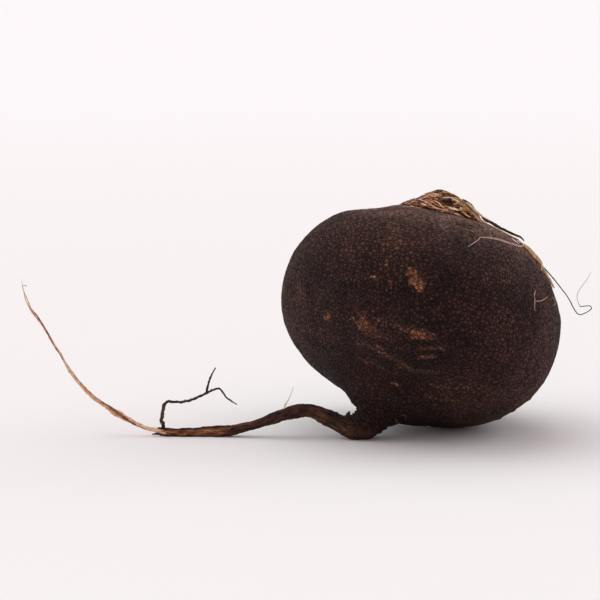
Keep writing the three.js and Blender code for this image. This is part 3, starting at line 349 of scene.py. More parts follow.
# flakes and bands on the near side of the crown: line with radii, outward direction, look
CROWN_STRIPS = [
    ([[3.638, 43.24, 2.711, 0.213], [5.178, 43.856, 3.683, 0.473], [6.666, 44.092, 3.208, 0.473], [8.467, 43.632, 3.169, 0.473], [10.127, 42.993, 3.176, 0.473], [11.78, 42.172, 3.181, 0.473], [13.256, 41.306, 3.296, 0.213]], [0.187, 0.917, -0.11], [0.4, 0, 0.1, 0, 0.8]),
    ([[1.136, 42.724, 4.157, 0.139], [2.734, 43.1, 3.809, 0.309], [4.316, 43.521, 3.795, 0.309], [5.689, 43.345, 1.63, 0.139]], [-0.282, 0.934, -0.118], [0.35, 0, 0.3, 0, 0.6]),
    ([[2.529, 42.373, 1.158, 0.111], [4.181, 42.674, 0.726, 0.247], [5.82, 42.411, -0.22, 0.247], [7.251, 41.852, -1.024, 0.111]], [-0.133, 0.847, -0.482], [0.75, 0, 0.6, 0, 0]),
    ([[7.117, 42.872, -0.196, 0.157], [9.358, 43.014, 0.912, 0.35], [11.53, 42.292, 1.434, 0.35], [13.206, 41.22, 1.111, 0.35], [14.903, 39.811, 0.888, 0.157]], [0.383, 0.821, -0.361], [0.6, 0.3, 0, 0, 0.3]),
    ([[3.7, 41.659, -0.682, 0.083], [5.336, 41.849, -0.916, 0.185], [6.795, 41.609, -1.311, 0.083]], [-0.111, 0.767, -0.622], [0.8, 0, 0.2, 0, 0]),
    ([[6.647, 40.602, -2.388, 0.079], [7.181, 41.085, -1.854, 0.175], [8.469, 41.313, -1.414, 0.175], [10.158, 41.173, -0.943, 0.175], [11.86, 40.628, -0.536, 0.175], [13.315, 39.903, -0.201, 0.175], [14.745, 38.659, -0.469, 0.175], [15.89, 37.195, -1.662, 0.175], [16.904, 35.699, -2.377, 0.175], [17.587, 34.768, -2.601, 0.079]], [0.38, 0.699, -0.554], [1.05, 0, 0.1, 0, 0]),
    ([[10.19, 41.456, -0.594, 0.12], [11.923, 41.192, 0.362, 0.268], [13.423, 40.502, 0.921, 0.268], [15.082, 39.248, 1.151, 0.268], [16.471, 37.693, 0.222, 0.268], [17.63, 36.193, -0.881, 0.268], [18.882, 34.951, -0.688, 0.12]], [0.553, 0.718, -0.392], [0.75, 0.5, 0, 0, 0]),
    ([[12.45, 39.899, -1.07, 0.12], [13.893, 38.848, -1.222, 0.268], [15.033, 37.359, -2.462, 0.268], [15.841, 36.116, -3.093, 0.12]], [0.499, 0.681, -0.527], [0.55, 0.3, 0, 0, 0]),
    ([[13.904, 40.763, 3.318, 0.074], [15.267, 39.86, 3.515, 0.165], [16.721, 38.429, 3.465, 0.165], [18.181, 36.685, 1.558, 0.165], [19.842, 34.903, 1.392, 0.074]], [0.666, 0.723, -0.136], [0.95, 0, 0.3, 0, 0]),
    # painted shade: this band and the next are near-black strips laid in gaps between strands
    ([[15.159, 40.326, 3.515, 0.056], [16.189, 39.385, 3.568, 0.123], [17.269, 38.153, 3.466, 0.123], [18.607, 36.607, 3.259, 0.056]], [0.665, 0.743, -0.071], [0.1, 0, 0, 0.95, 0]),
    ([[13.997, 39.926, 0.793, 0.042], [15.489, 38.633, 0.735, 0.093], [16.793, 37.002, -0.629, 0.093], [18.002, 35.315, -1.42, 0.042]], [0.611, 0.689, -0.379], [0.1, 0, 0, 0.8, 0]),
    ([[16.053, 39.221, 3.569, 0.042], [17.331, 37.845, 3.408, 0.093], [18.893, 36.341, 3.182, 0.042]], [0.671, 0.737, -0.075], [1.2, 0, 0.6, 0, 0]),
    # painted shade: a tiny near-black strip in a gap
    ([[14.95, 40.356, 3.516, 0.023], [15.2, 40.499, 3.517, 0.051], [15.532, 40.498, 3.517, 0.051], [15.925, 40.451, 3.517, 0.023]], [0.654, 0.753, -0.071], [0.1, 0, 0, 1, 0]),
    ([[16.756, 39.076, 3.572, 0.083], [18.214, 37.635, 3.275, 0.185], [20.241, 35.971, 3.531, 0.083]], [0.688, 0.72, -0.073], [0.9, 0, 0.5, 0, 0]),
    ([[18.064, 36.199, -0.031, 0.065], [19.323, 34.958, 0.24, 0.144], [20.457, 33.953, 1.196, 0.065]], [0.723, 0.608, -0.318], [0.8, 0, 0.5, 0, 0]),
    ([[-7.817, 38.673, -7.521, 0.083], [-6.112, 39.583, 4.958, 0.185], [-4.838, 40.093, 2.739, 0.185], [-3.665, 40.291, 1.217, 0.083]], [-0.355, 0.898, -0.118], [0.6, 0, 0.7, 0, 0]),
    ([[-5.182, 40.115, 4.558, 0.093], [-3.706, 40.585, 3.395, 0.206], [-2.034, 40.95, 3.593, 0.206], [-0.805, 41.458, 4.323, 0.093]], [-0.341, 0.934, -0.028], [0.55, 0, 0.6, 0, 0]),
    ([[-1.799, 41.026, 3.889, 0.093], [-0.188, 41.782, 4.409, 0.206], [1.002, 42.376, 4.015, 0.206], [1.991, 42.634, 2.72, 0.093]], [-0.383, 0.916, -0.066], [0.5, 0, 0.8, 0, 0.1]),
    ([[-0.359, 40.725, -0.245, 0.065], [0.835, 41.167, 0.247, 0.144], [1.689, 41.49, 0.222, 0.065]], [-0.268, 0.885, -0.358], [0.95, 0, 0.3, 0, 0]),
    ([[1.358, 41.182, -0.159, 0.093], [2.522, 42.126, 0.688, 0.206], [3.734, 42.026, -0.197, 0.206], [4.936, 41.498, -1.267, 0.093]], [-0.255, 0.809, -0.515], [0.85, 0, 0.3, 0, 0]),
    ([[-2.016, 40.472, -0.089, 0.074], [-0.386, 40.587, -0.781, 0.165], [0.737, 40.052, -2.626, 0.165], [2.103, 39.387, -3.948, 0.165], [3.348, 38.775, -4.789, 0.074]], [-0.161, 0.829, -0.482], [0.9, 0, 0.7, 0, 0]),
    ([[-4.527, 39.642, 0.707, 0.083], [-2.916, 39.884, -0.664, 0.185], [-1.529, 39.752, -1.965, 0.185], [-0.132, 39.272, -3.317, 0.083]], [-0.384, 0.77, -0.491], [0.65, 0, 0.5, 0, 0]),
    ([[-3.956, 39.177, -0.853, 0.083], [-1.951, 38.875, -2.823, 0.185], [-0.185, 38.757, -3.834, 0.185], [1.477, 38.278, -4.848, 0.083]], [-0.313, 0.714, -0.609], [0.35, 0, 0.8, 0, 0]),
    ([[-7.653, 38.528, -8.033, 0.056], [-5.797, 38.776, 0.828, 0.123], [-4.167, 38.405, -1.179, 0.123], [-2.571, 38.031, -4.605, 0.056]], [-0.335, 0.658, -0.31], [0.9, 0, 1, 0, 0]),
    ([[-2.571, 38.031, -4.605, 0.056], [-1.45, 37.493, -11.42, 0.123], [0.224, 37.711, -4.503, 0.056]], [-0.035, 0.723, -0.34], [0.85, 0, 0.8, 0, 0]),
    ([[3.406, 40.159, -2.941, 0.102], [4.813, 39.878, -3.5, 0.226], [5.986, 39.179, -4.501, 0.226], [6.839, 38.165, -5.411, 0.226], [7.749, 37.64, -5.699, 0.102]], [0.05, 0.754, -0.622], [0.9, 0, 0.1, 0, 0]),
    ([[2.35, 39.848, -3.424, 0.102], [3.562, 39.58, -3.984, 0.226], [5.001, 38.819, -4.918, 0.226], [6.131, 37.98, -5.602, 0.102]], [-0.031, 0.737, -0.657], [0.55, 0, 0.4, 0, 0]),
    ([[1.89, 38.942, -4.335, 0.065], [3.316, 38.493, -5.019, 0.144], [4.668, 37.751, -5.742, 0.144], [6.124, 37.327, -6.061, 0.065]], [-0.072, 0.634, -0.765], [0.85, 0, 0.6, 0, 0]),
    ([[3.512, 37.741, -5.681, 0.083], [5.081, 37.345, -6.094, 0.185], [6.706, 37.023, -6.269, 0.185], [8.628, 36.704, -6.205, 0.185], [10.266, 35.606, -6.199, 0.083]], [0.045, 0.416, -0.792], [0.75, 0, 0.9, 0, 0]),
    ([[0.698, 39.016, -3.89, 0.056], [1.913, 38.656, -4.594, 0.123], [2.897, 38.231, -5.163, 0.056]], [-0.185, 0.658, -0.727], [0.9, 0, 0.7, 0, 0]),
    ([[4.473, 40.902, -1.844, 0.065], [5.733, 40.742, -2.203, 0.144], [6.721, 40.324, -2.682, 0.065]], [-0.044, 0.76, -0.645], [0.6, 0, 0.4, 0, 0]),
    ([[7.197, 37.972, -5.508, 0.083], [8.233, 38.191, -5.165, 0.185], [9.48, 37.963, -5.048, 0.083]], [0.155, 0.63, -0.758], [0.6, 0, 0.2, 0, 0]),
    ([[6.769, 37.616, -5.802, 0.065], [8.025, 37.206, -5.939, 0.144], [9.285, 37.002, -5.82, 0.065]], [0.135, 0.58, -0.801], [0.5, 0, 0.6, 0, 0]),
    ([[-0.119, 39.732, -2.763, 0.074], [1.063, 39.372, -3.665, 0.165], [2.308, 39.147, -4.247, 0.074]], [-0.216, 0.729, -0.645], [0.3, 0, 0.9, 0, 0]),
    ([[1.63, 40.84, -0.992, 0.074], [3.239, 40.661, -1.901, 0.165], [4.888, 40.431, -2.532, 0.074]], [-0.122, 0.856, -0.494], [0.45, 0, 0.7, 0, 0]),
    ([[9.424, 37.805, -5.748, 0.194], [10.223, 37.292, -5.901, 0.432], [11.455, 37.08, -5.628, 0.432], [12.731, 36.63, -5.402, 0.194]], [0.278, 0.574, -0.768], [1.12, 0, 0.35, 0, 0]),
    ([[8.763, 38.275, -4.949, 0.065], [9.123, 38.03, -5.075, 0.144], [9.494, 37.773, -5.187, 0.065]], [0.202, 0.644, -0.737], [1.2, 0, 0.2, 0, 0]),
    ([[10.635, 38.877, -3.467, 0.083], [12.155, 39.026, -2.363, 0.185], [13.647, 38.622, -1.773, 0.185], [14.644, 38.007, -1.777, 0.083]], [0.394, 0.768, -0.496], [0.7, 0, 0.6, 0, 0]),
    ([[12.538, 36.776, -5.452, 0.269], [14.125, 36.935, -4.425, 0.597], [15.645, 36.726, -3.43, 0.597], [16.512, 35.95, -3.365, 0.269]], [0.481, 0.574, -0.655], [0.42, 0.15, 0, 0, 0]),
    ([[14.196, 35.841, -5.158, 0.157], [15.487, 34.983, -4.927, 0.35], [16.816, 34.262, -4.178, 0.157]], [0.492, 0.252, -0.78], [0.7, 1, 0, 0, 0]),
    ([[15.764, 36.969, -2.157, 0.074], [16.825, 36.1, -2.019, 0.165], [17.39, 34.981, -2.586, 0.074]], [0.59, 0.619, -0.516], [1.0, 0.2, 0, 0, 0]),
    ([[10.449, 36.173, -6.099, 0.065], [11.953, 35.802, -5.819, 0.144], [13.351, 35.024, -5.443, 0.065]], [0.273, 0.273, -0.803], [0.8, 0, 0.9, 0, 0]),
    ([[12.081, 35.462, -5.871, 0.046], [13.39, 34.906, -5.362, 0.103], [14.258, 34.351, -7.075, 0.046]], [0.295, 0.334, -0.657], [0.7, 0, 1, 0, 0]),
    ([[-10.898, 38.344, -6.407, 0.046], [-9.476, 38.445, -7.445, 0.103], [-7.793, 38.54, -7.52, 0.046]], [-0.078, 0.995, -0.039], [0.6, 0, 1, 0.2, 0]),
    ([[-10.622, 37.98, -11.776, 0.037], [-8.835, 38.091, -12.202, 0.082], [-6.548, 38.609, 2.23, 0.037]], [-0.36, 0.61, -0.218], [0.9, 0, 1, 0, 0]),
    ([[-9.592, 38.453, -6.923, 0.042], [-8.589, 38.515, -7.242, 0.093], [-7.647, 38.653, -7.825, 0.042]], [-0.051, 0.998, -0.037], [0.4, 0, 0.8, 0.3, 0]),
    ([[-7.103, 37.776, -14.964, 0.037], [-5.423, 37.674, -14.835, 0.082], [-3.8, 37.57, -13.84, 0.037]], [0.098, 0.982, -0.149], [0.95, 0, 1, 0, 0]),
    ([[10.62, 35.53, -6.087, 0.032], [11.906, 35.202, -5.917, 0.072], [12.711, 34.882, -6.252, 0.032]], [0.267, 0.761, -0.461], [1.0, 0, 1, 0, 0]),
    ([[18.13, 34.464, -2.278, 0.056], [19.237, 33.864, -1.491, 0.123], [20.108, 33.164, -0.497, 0.056]], [0.703, 0.288, -0.54], [0.7, 0, 0.8, 0, 0]),
    ([[8.328, 34.904, -15.259, 0.028], [8.605, 33.918, -19.641, 0.062], [8.869, 33.07, -22.475, 0.028]], [0.227, 0.945, -0.23], [0.95, 0, 1, 0, 0]),
    ([[-2.288, 37.559, -12.032, 0.028], [-1.571, 37.156, -14.124, 0.062], [-1.014, 36.811, -15.661, 0.028]], [0.171, 0.975, -0.141], [0.8, 0, 1, 0, 0]),
    ([[14.225, 40.643, 3.386, 0.204], [16.189, 38.931, 3.563, 0.453], [18.263, 37.012, 3.129, 0.453], [20.367, 35.017, 3.682, 0.204]], [0.678, 0.724, -0.076], [0.5, 0, 0.5, 0.1, 0]),
    ([[14.962, 39.986, 3.512, 0.12], [16.876, 38.179, 3.406, 0.268], [18.906, 36.319, 2.605, 0.268], [20.606, 34.627, 3.852, 0.12]], [0.701, 0.701, -0.088], [0.75, 0, 0.5, 0, 0]),
    ([[10.199, 42.853, 3.115, 0.102], [11.768, 42.149, 3.187, 0.226], [13.216, 41.244, 3.301, 0.226], [14.535, 40.513, 3.428, 0.102]], [0.508, 0.853, -0.075], [0.85, 0.1, 0, 0, 0.3]),
    ([[-0.938, 40.899, 1.013, 0.065], [0.485, 41.358, 1.038, 0.144], [1.689, 41.776, 0.759, 0.065]], [-0.316, 0.884, -0.314], [1.0, 0, 0.4, 0, 0]),
    ([[-5.87, 39.385, 2.51, 0.056], [-4.516, 39.293, 0.002, 0.123], [-3.127, 39.422, -1.196, 0.056]], [-0.484, 0.785, -0.365], [0.95, 0, 0.8, 0, 0]),
    ([[2.432, 40.479, -2.022, 0.046], [3.655, 40.634, -2.009, 0.103], [4.883, 40.612, -2.256, 0.046]], [-0.097, 0.844, -0.518], [1.1, 0, 0.6, 0, 0]),
    ([[0.717, 39.828, -2.947, 0.046], [1.686, 39.317, -3.889, 0.103], [2.738, 39.055, -4.401, 0.046]], [-0.176, 0.737, -0.646], [1.1, 0, 0.6, 0, 0]),
    ([[5.114, 36.86, -6.193, 0.042], [6.25, 36.487, -6.277, 0.093], [7.487, 36.422, -6.431, 0.042]], [-0.154, -0.322, -0.923], [1.15, 0, 0.8, 0, 0]),
    ([[7.08, 36.598, -6.424, 0.042], [8.836, 36.486, -6.294, 0.093], [9.856, 36.142, -6.271, 0.042]], [0.117, 0.352, -0.887], [1.1, 0, 0.9, 0, 0]),
    ([[3.772, 42.408, 0.482, 0.046], [4.98, 42.296, -0.17, 0.103], [5.99, 41.965, -0.817, 0.046]], [-0.138, 0.834, -0.524], [1.1, 0, 0.4, 0, 0])]
CLEFTS = [
    ([[1.694, 41.143, -0.053], [3.31, 41.106, -0.963], [5.131, 40.918, -1.69]], 0.123),
    ([[0.57, 37.671, -4.507], [2.273, 37.302, -5.223], [3.365, 36.637, -7.875]], 0.185),
    ([[4.239, 36.581, -6.773], [6.071, 36.142, -7.332], [8.53, 35.608, -7.225]], 0.144),
    ([[9.874, 37.795, -4.832], [11.746, 37.871, -3.947], [14.296, 37.319, -2.838]], 0.226),
    ([[2.331, 38.547, -4.575], [3.477, 38.02, -5.217], [4.731, 37.488, -5.744]], 0.093),
    ([[-3.708, 38.831, -1.285], [-1.919, 38.891, -2.524], [-0.901, 38.734, -3.268]], 0.093),
    ([[-1.322, 38.486, -3.347], [0.658, 38.117, -4.529]], 0.103),
    ([[15.85, 37.264, -1.172], [16.882, 36.46, -1.099], [17.874, 35.199, -1.428]], 0.123),
    ([[6.274, 39.648, -3.387], [6.825, 38.589, -4.791], [7.542, 37.642, -5.492]], 0.103),
    ([[-6.674, 38.975, 5.199], [-5.242, 39.088, 0.959], [-4.062, 39.165, -0.371]], 0.082),
    ([[0.118, 41.058, 1.136], [1.338, 41.579, 1.095]], 0.082),
    ([[7.19, 41.485, -1.167], [8.674, 41.569, -0.771], [10.131, 41.388, -0.352]], 0.082),
    ([[12.307, 36.124, -5.184], [12.689, 35.49, -5.494]], 0.082)]
HOLLOW = {'at': [9.501, 39.579, -2.709], 'n': [0.226, 0.744, -0.628], 'a': [2.875, -0.615, 0.32], 'b': [-0.384, -1.335, -1.766]}
KNOBS = [[[31.77, -31.79, -0.71], 0.8, 0.45], [[37.02, -27.85, -2.6], 0.7, 0.4], [[27.0, -34.51, 0.28], 0.9, 0.4], [[41.69, -22.19, -3.8], 0.6, 0.25], [[16.52, -36.46, -4.57], 0.8, 0.3]]
FINE_HAIRS = [[[-9.17, -33.95, -13.76, 0.06], [-8.85, -34.71, -12.48, 0.06], [-8.34, -35.52, -10.28, 0.04]], [[-7.43, -32.86, -14.81, 0.05], [-6.64, -32.66, -15.04, 0.06], [-5.74, -33.02, -14.35, 0.06], [-5.68, -34.15, -11.96, 0.05], [-5.63, -35.98, -3.24, 0.04]], [[-37.96, -34.03, -7.98, 0.12], [-37.96, -34.03, -7.98, 0.1], [-37.96, -34.03, -7.98, 0.05]]]
# places where the skin is redder: centre, half width, half height, strength
WARM = [[[-9.45, 24.23, -41.53], 6.5, 10, 0.85], [[-13.91, 18.52, -44.2], 4, 6, 0.4], [[25.81, 15.45, -37.21], 7, 6, 0.5], [[10.16, -26.45, -26.92], 22, 6, 0.45], [[-40.49, 0.22, -17.53], 5, 11, 0.45], [[36.99, -24.97, -12.91], 8, 8, 0.55], [[4.75, 31.02, -30.13], 22, 5, 0.35], [[-25.05, 26.04, -34.91], 7, 7, 0.3], [[40.22, 6.23, -25.1], 3.5, 12, 0.5]]
THORNS = [
    ([[-25.3, -33.6, -8.4, 1.0], [-25.1, -32.7, -8.5, .75], [-24.85, -32.0, -8.6, .38], [-24.7, -31.5, -8.7, .08]], dict(sides=8, step=0.25, rough=0.3)),
    ([[-22.9, -27.3, 4.8, .36], [-23.3, -28.2, 4.3, .3], [-23.6, -28.9, 3.9, .2], [-23.87, -29.5, 3.6, .06]], dict(sides=8, step=0.2, rough=0.3))]

MM = 0.001
rng = np.random.default_rng(11)


# ---------------------------------------------------------------- numbers
def to_world(p):
    """leaning frame (right, up, away) in mm -> model frame in metres"""
    p = np.asarray(p, float)
    u, v, w = p[..., 0], p[..., 1], p[..., 2]
    c, s = math.cos(LEAN), math.sin(LEAN)
    return np.stack([u - REST[0], w * c + v * s - REST[1], v * c - w * s + CENTRE_HEIGHT], -1) * MM


def catmull(rows, t):
    rows = np.asarray(rows, float)
    t = np.asarray(t, float)
    last = len(rows)
    i = np.clip(np.floor(t).astype(int), 0, last - 2)
    f = (t - i)[..., None]
    ext = np.vstack([2 * rows[0] - rows[1], rows, 2 * rows[-1] - rows[-2]])
    p0, p1, p2, p3 = ext[i], ext[i + 1], ext[i + 2], ext[i + 3]
    v0, v1 = (p2 - p0) * 0.5, (p3 - p1) * 0.5
    return (2 * p1 - 2 * p2 + v0 + v1) * f ** 3 + (-3 * p1 + 3 * p2 - 2 * v0 - v1) * f ** 2 + v0 * f + p1


def lump(angle):
    a = (np.degrees(angle) + 180) % 360 / 5
    i = np.floor(a).astype(int) % 72
    f = a - np.floor(a)
    p0, p1, p2, p3 = LUMPS[(i - 1) % 72], LUMPS[i], LUMPS[(i + 1) % 72], LUMPS[(i + 2) % 72]
    v0, v1 = (p2 - p0) / 2, (p3 - p1) / 2
    return (2 * p1 - 2 * p2 + v0 + v1) * f ** 3 + (-3 * p1 + 3 * p2 - 2 * v0 - v1) * f ** 2 + v0 * f + p1


def skin_point(t, phi):
    q = catmull(SECTIONS, t)
    p = q[..., 0:3] + q[..., 3:6] * np.cos(phi)[..., None] + q[..., 6:9] * np.sin(phi)[..., None]
    k = 1 + (lump(np.arctan2(p[..., 1], p[..., 0])) - 1) * np.clip(q[..., 9], 0, 1)
    p = p.copy()
    p[..., 0] *= k
    p[..., 1] *= k
    return p


def skin_normal(t, phi):
    e = 0.02
    a = skin_point(np.minimum(t + e, len(SECTIONS) - 1), phi) - skin_point(np.maximum(t - e, 0), phi)
    b = skin_point(t, phi + e) - skin_point(t, phi - e)
    m = np.cross(a, b)
    return m / (np.linalg.norm(m, axis=-1, keepdims=True) + 1e-12)


def lattice(seed, size=64):
    return np.random.default_rng(seed).uniform(-1, 1, (size, size, size))


LATTICE = lattice(5)


def vnoise(p):
    """smooth value noise of points (n, 3), about -1..1"""
    i = np.floor(p).astype(int)
    f = p - i
    f = f * f * f * (f * (f * 6 - 15) + 10)
    out = 0
    for dx in (0, 1):
        for dy in (0, 1):
            for dz in (0, 1):
                w = (f[:, 0] if dx else 1 - f[:, 0]) * (f[:, 1] if dy else 1 - f[:, 1]) * (f[:, 2] if dz else 1 - f[:, 2])
                out = out + w * LATTICE[(i[:, 0] + dx) % 64, (i[:, 1] + dy) % 64, (i[:, 2] + dz) % 64]
    return out


def fbm(p, octaves=3):
    s, a, out = 1.0, 1.0, 0
    for k in range(octaves):
        out = out + a * vnoise(p * s + 17.3 * k)
        s *= 2.03
        a *= 0.5
    return out


def smooth(a, b, x):
    k = np.clip((x - a) / (b - a), 0, 1)
    return k * k * (3 - 2 * k)


# ---------------------------------------------------------------- meshes
def mesh_object(name, verts, faces, material, layers=None, replaces=(), smooth_shade=True):
    me = bpy.data.meshes.new(name)
    me.from_pydata([tuple(v) for v in verts], [], [tuple(int(i) for i in f) for f in faces])
    me.validate()
    if layers:
        for key, values in layers.items():
            values = np.asarray(values, np.float32)
            if values.ndim == 2:
                me.attributes.new(key, 'FLOAT_VECTOR', 'POINT').data.foreach_set('vector', values.ravel())
            else:
                me.attributes.new(key, 'FLOAT', 'POINT').data.foreach_set('value', values)
    if smooth_shade:
        me.polygons.foreach_set('use_smooth', [True] * len(me.polygons))
    me.materials.append(material)
    me.update()
    ob = bpy.data.objects.new(name, me)
    bpy.context.scene.collection.objects.link(ob)
    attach(ob, "root")
    if replaces:
        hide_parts(*replaces)
    return ob


class Heap:
    """gathers parts of one piece"""

    def __init__(self):
        self.v, self.f, self.n = [], [], 0
        self.layers = {}

    def add(self, verts, faces, **layers):
        verts = np.asarray(verts, float)
        self.v.append(verts)
        self.f.extend([[i + self.n for i in f] for f in faces])
        for k in set(list(layers) + list(self.layers)):
            v = layers.get(k, 0.0)
            v = np.full(len(verts), v, float) if np.isscalar(v) else np.asarray(v, float)
            self.layers.setdefault(k, [np.zeros(self.n)] if self.n else []).append(v)
        self.n += len(verts)

    def build(self, name, material, slot, replaces=(), world=True):
        v = np.vstack(self.v)
        lay = {k: np.concatenate(a) for k, a in self.layers.items()}
        v = to_world(v) if world else v
        v[:, 2] = np.maximum(v[:, 2], 0.00003)
        return mesh_object(name, v, self.f, material, lay, replaces)


def tube(points, sides=10, step=0.5, flat=1.0, flat_dir=(0, 0, 1), twist=0.0, rough=0.0, seed=1, ends=True, ridges=0):
    """tapered strand along points (x, y, z, r), squashed by flat across flat_dir"""
    P = np.asarray(points, float)
    seg = np.linalg.norm(np.diff(P[:, :3], axis=0), axis=1)
    length = seg.sum()
    m = max(4, int(length / step))
    tt = np.interp(np.linspace(0, length, m + 1), np.r_[0, np.cumsum(seg)], np.arange(len(P)))
    q = catmull(P, tt)
    c, r = q[:, :3], np.maximum(q[:, 3], 0.02)
    tan = np.gradient(c, axis=0)
    tan /= np.linalg.norm(tan, axis=1, keepdims=True) + 1e-9
    ref = np.asarray(flat_dir, float)
    b = ref - tan * (tan @ ref)[:, None]
    bl = np.linalg.norm(b, axis=1, keepdims=True)
    b = np.where(bl > 0.15, b / (bl + 1e-9), 0)
    for k in range(1, len(b)):
        if not b[k].any():
            b[k] = b[k - 1]
    a = np.cross(tan, b)
    a /= np.linalg.norm(a, axis=1, keepdims=True) + 1e-9
    ang = np.linspace(0, 2 * math.pi, sides, endpoint=False)
    tw = twist * np.linspace(0, length, m + 1)[:, None] + ang[None, :]
    ca, sa = np.cos(ang)[None, :], np.sin(ang)[None, :]
    rr = r[:, None] * np.ones((1, sides))
    if ridges:
        rr = rr * (1 + 0.16 * np.cos(ridges * tw))
    if rough:
        s = np.stack([np.repeat(np.linspace(0, length, m + 1)[:, None], sides, 1) * 1.3 + seed * 7.1,
                      np.cos(tw) * 1.4 + seed, np.sin(tw) * 1.4], -1).reshape(-1, 3)
        rr = rr * (1 + rough * fbm(s, 2).reshape(rr.shape))
    V = c[:, None, :] + a[:, None, :] * (rr * ca)[..., None] + b[:, None, :] * (rr * sa * flat)[..., None]
    faces = []
    for j in range(m):
        for i in range(sides):
            k = (i + 1) % sides
            faces.append([j * sides + i, j * sides + k, (j + 1) * sides + k, (j + 1) * sides + i])
    V = V.reshape(-1, 3)
    n0 = len(V)
    V = np.vstack([V, c[0] - tan[0] * r[0] * 0.5, c[-1] + tan[-1] * r[-1] * 0.5])
    for i in range(sides):
        k = (i + 1) % sides
        faces.append([n0, k, i])
        faces.append([n0 + 1, m * sides + i, m * sides + k])
    along = np.r_[np.repeat(np.linspace(0, 1, m + 1), sides), 0, 1]
    return V, faces, along


# ---------------------------------------------------------------- materials
def new_material(name):
    m = bpy.data.materials.new(name)
    m.use_nodes = True
    nt = m.node_tree
    nt.nodes.clear()
    o = nt.nodes.new('ShaderNodeOutputMaterial')
    p = nt.nodes.new('ShaderNodeBsdfPrincipled')
    nt.links.new(p.outputs[0], o.inputs[0])
    return m, nt, p


def srgb(r, g, b):
    f = lambda c: c / 12.92 if c <= 0.04045 else ((c + 0.055) / 1.055) ** 2.4
    return (f(r / 255), f(g / 255), f(b / 255), 1)


class Nodes:
    def __init__(self, nt):
        self.nt = nt
        self.coord = nt.nodes.new('ShaderNodeTexCoord').outputs['Object']

    def link(self, a, b):
        self.nt.links.new(a, b)

    def mapping(self, scale=(1, 1, 1), rot=(0, 0, 0)):
        m = self.nt.nodes.new('ShaderNodeMapping')
        m.inputs['Scale'].default_value = scale
        m.inputs['Rotation'].default_value = rot
        self.link(self.coord, m.inputs['Vector'])
        return m.outputs[0]

    def noise(self, scale, detail=3, rough=0.55, vec=None, dist=0.0, out='Fac'):
        m = self.nt.nodes.new('ShaderNodeTexNoise')
        m.inputs['Scale'].default_value = scale
        m.inputs['Detail'].default_value = detail
        m.inputs['Roughness'].default_value = rough
        m.inputs['Distortion'].default_value = dist
        self.link(vec or self.coord, m.inputs['Vector'])
        return m.outputs[out]

    def voronoi(self, scale, feature='F1', vec=None, rand=1.0, out='Distance'):
        m = self.nt.nodes.new('ShaderNodeTexVoronoi')
        m.feature = feature
        m.inputs['Scale'].default_value = scale
        m.inputs['Randomness'].default_value = rand
        self.link(vec or self.coord, m.inputs['Vector'])
        return m.outputs[out]

    def attr(self, name):
        m = self.nt.nodes.new('ShaderNodeAttribute')
        m.attribute_name = name
        return m.outputs['Fac']

    def attr_vec(self, name, scale):
        m = self.nt.nodes.new('ShaderNodeAttribute')
        m.attribute_name = name
        k = self.nt.nodes.new('ShaderNodeMapping')
        k.inputs['Scale'].default_value = scale
        self.link(m.outputs['Vector'], k.inputs['Vector'])
        return k.outputs[0]

    def math(self, op, a, b=0.0, c=None, clamp=False):
        m = self.nt.nodes.new('ShaderNodeMath')
        m.operation = op
        m.use_clamp = clamp
        for k, v in enumerate((a, b) if c is None else (a, b, c)):
            if isinstance(v, (int, float)):
                m.inputs[k].default_value = v
            else:
                self.link(v, m.inputs[k])
        return m.outputs[0]

    def range(self, v, a, b, c=0.0, d=1.0, mode='SMOOTHSTEP'):
        m = self.nt.nodes.new('ShaderNodeMapRange')
        m.interpolation_type = mode
        for k, x in zip(('From Min', 'From Max', 'To Min', 'To Max'), (a, b, c, d)):
            m.inputs[k].default_value = x
        self.link(v, m.inputs['Value'])
        return m.outputs['Result']

    def mix(self, fac, a, b, mode='MIX'):
        m = self.nt.nodes.new('ShaderNodeMix')
        m.data_type = 'RGBA'
        m.blend_type = mode
        m.clamp_factor = True
        ia, ib = m.inputs[6], m.inputs[7]
        if isinstance(fac, (int, float)):
            m.inputs[0].default_value = fac
        else:
            self.link(fac, m.inputs[0])
        for s, v in ((ia, a), (ib, b)):
            if isinstance(v, tuple):
                s.default_value = v
            else:
                self.link(v, s)
        return m.outputs[2]

    def ramp(self, fac, stops):
        m = self.nt.nodes.new('ShaderNodeValToRGB')
        e = m.color_ramp.elements
        while len(e) < len(stops):
            e.new(0.5)
        for k, (pos, col) in enumerate(stops):
            e[k].position = pos
            e[k].color = col
        self.link(fac, m.inputs[0])
        return m.outputs[0]

    def bump(self, height, strength, distance, normal=None):
        m = self.nt.nodes.new('ShaderNodeBump')
        m.inputs['Strength'].default_value = strength
        m.inputs['Distance'].default_value = distance
        self.link(height, m.inputs['Height'])
        if normal:
            self.link(normal, m.inputs['Normal'])
        return m.outputs[0]


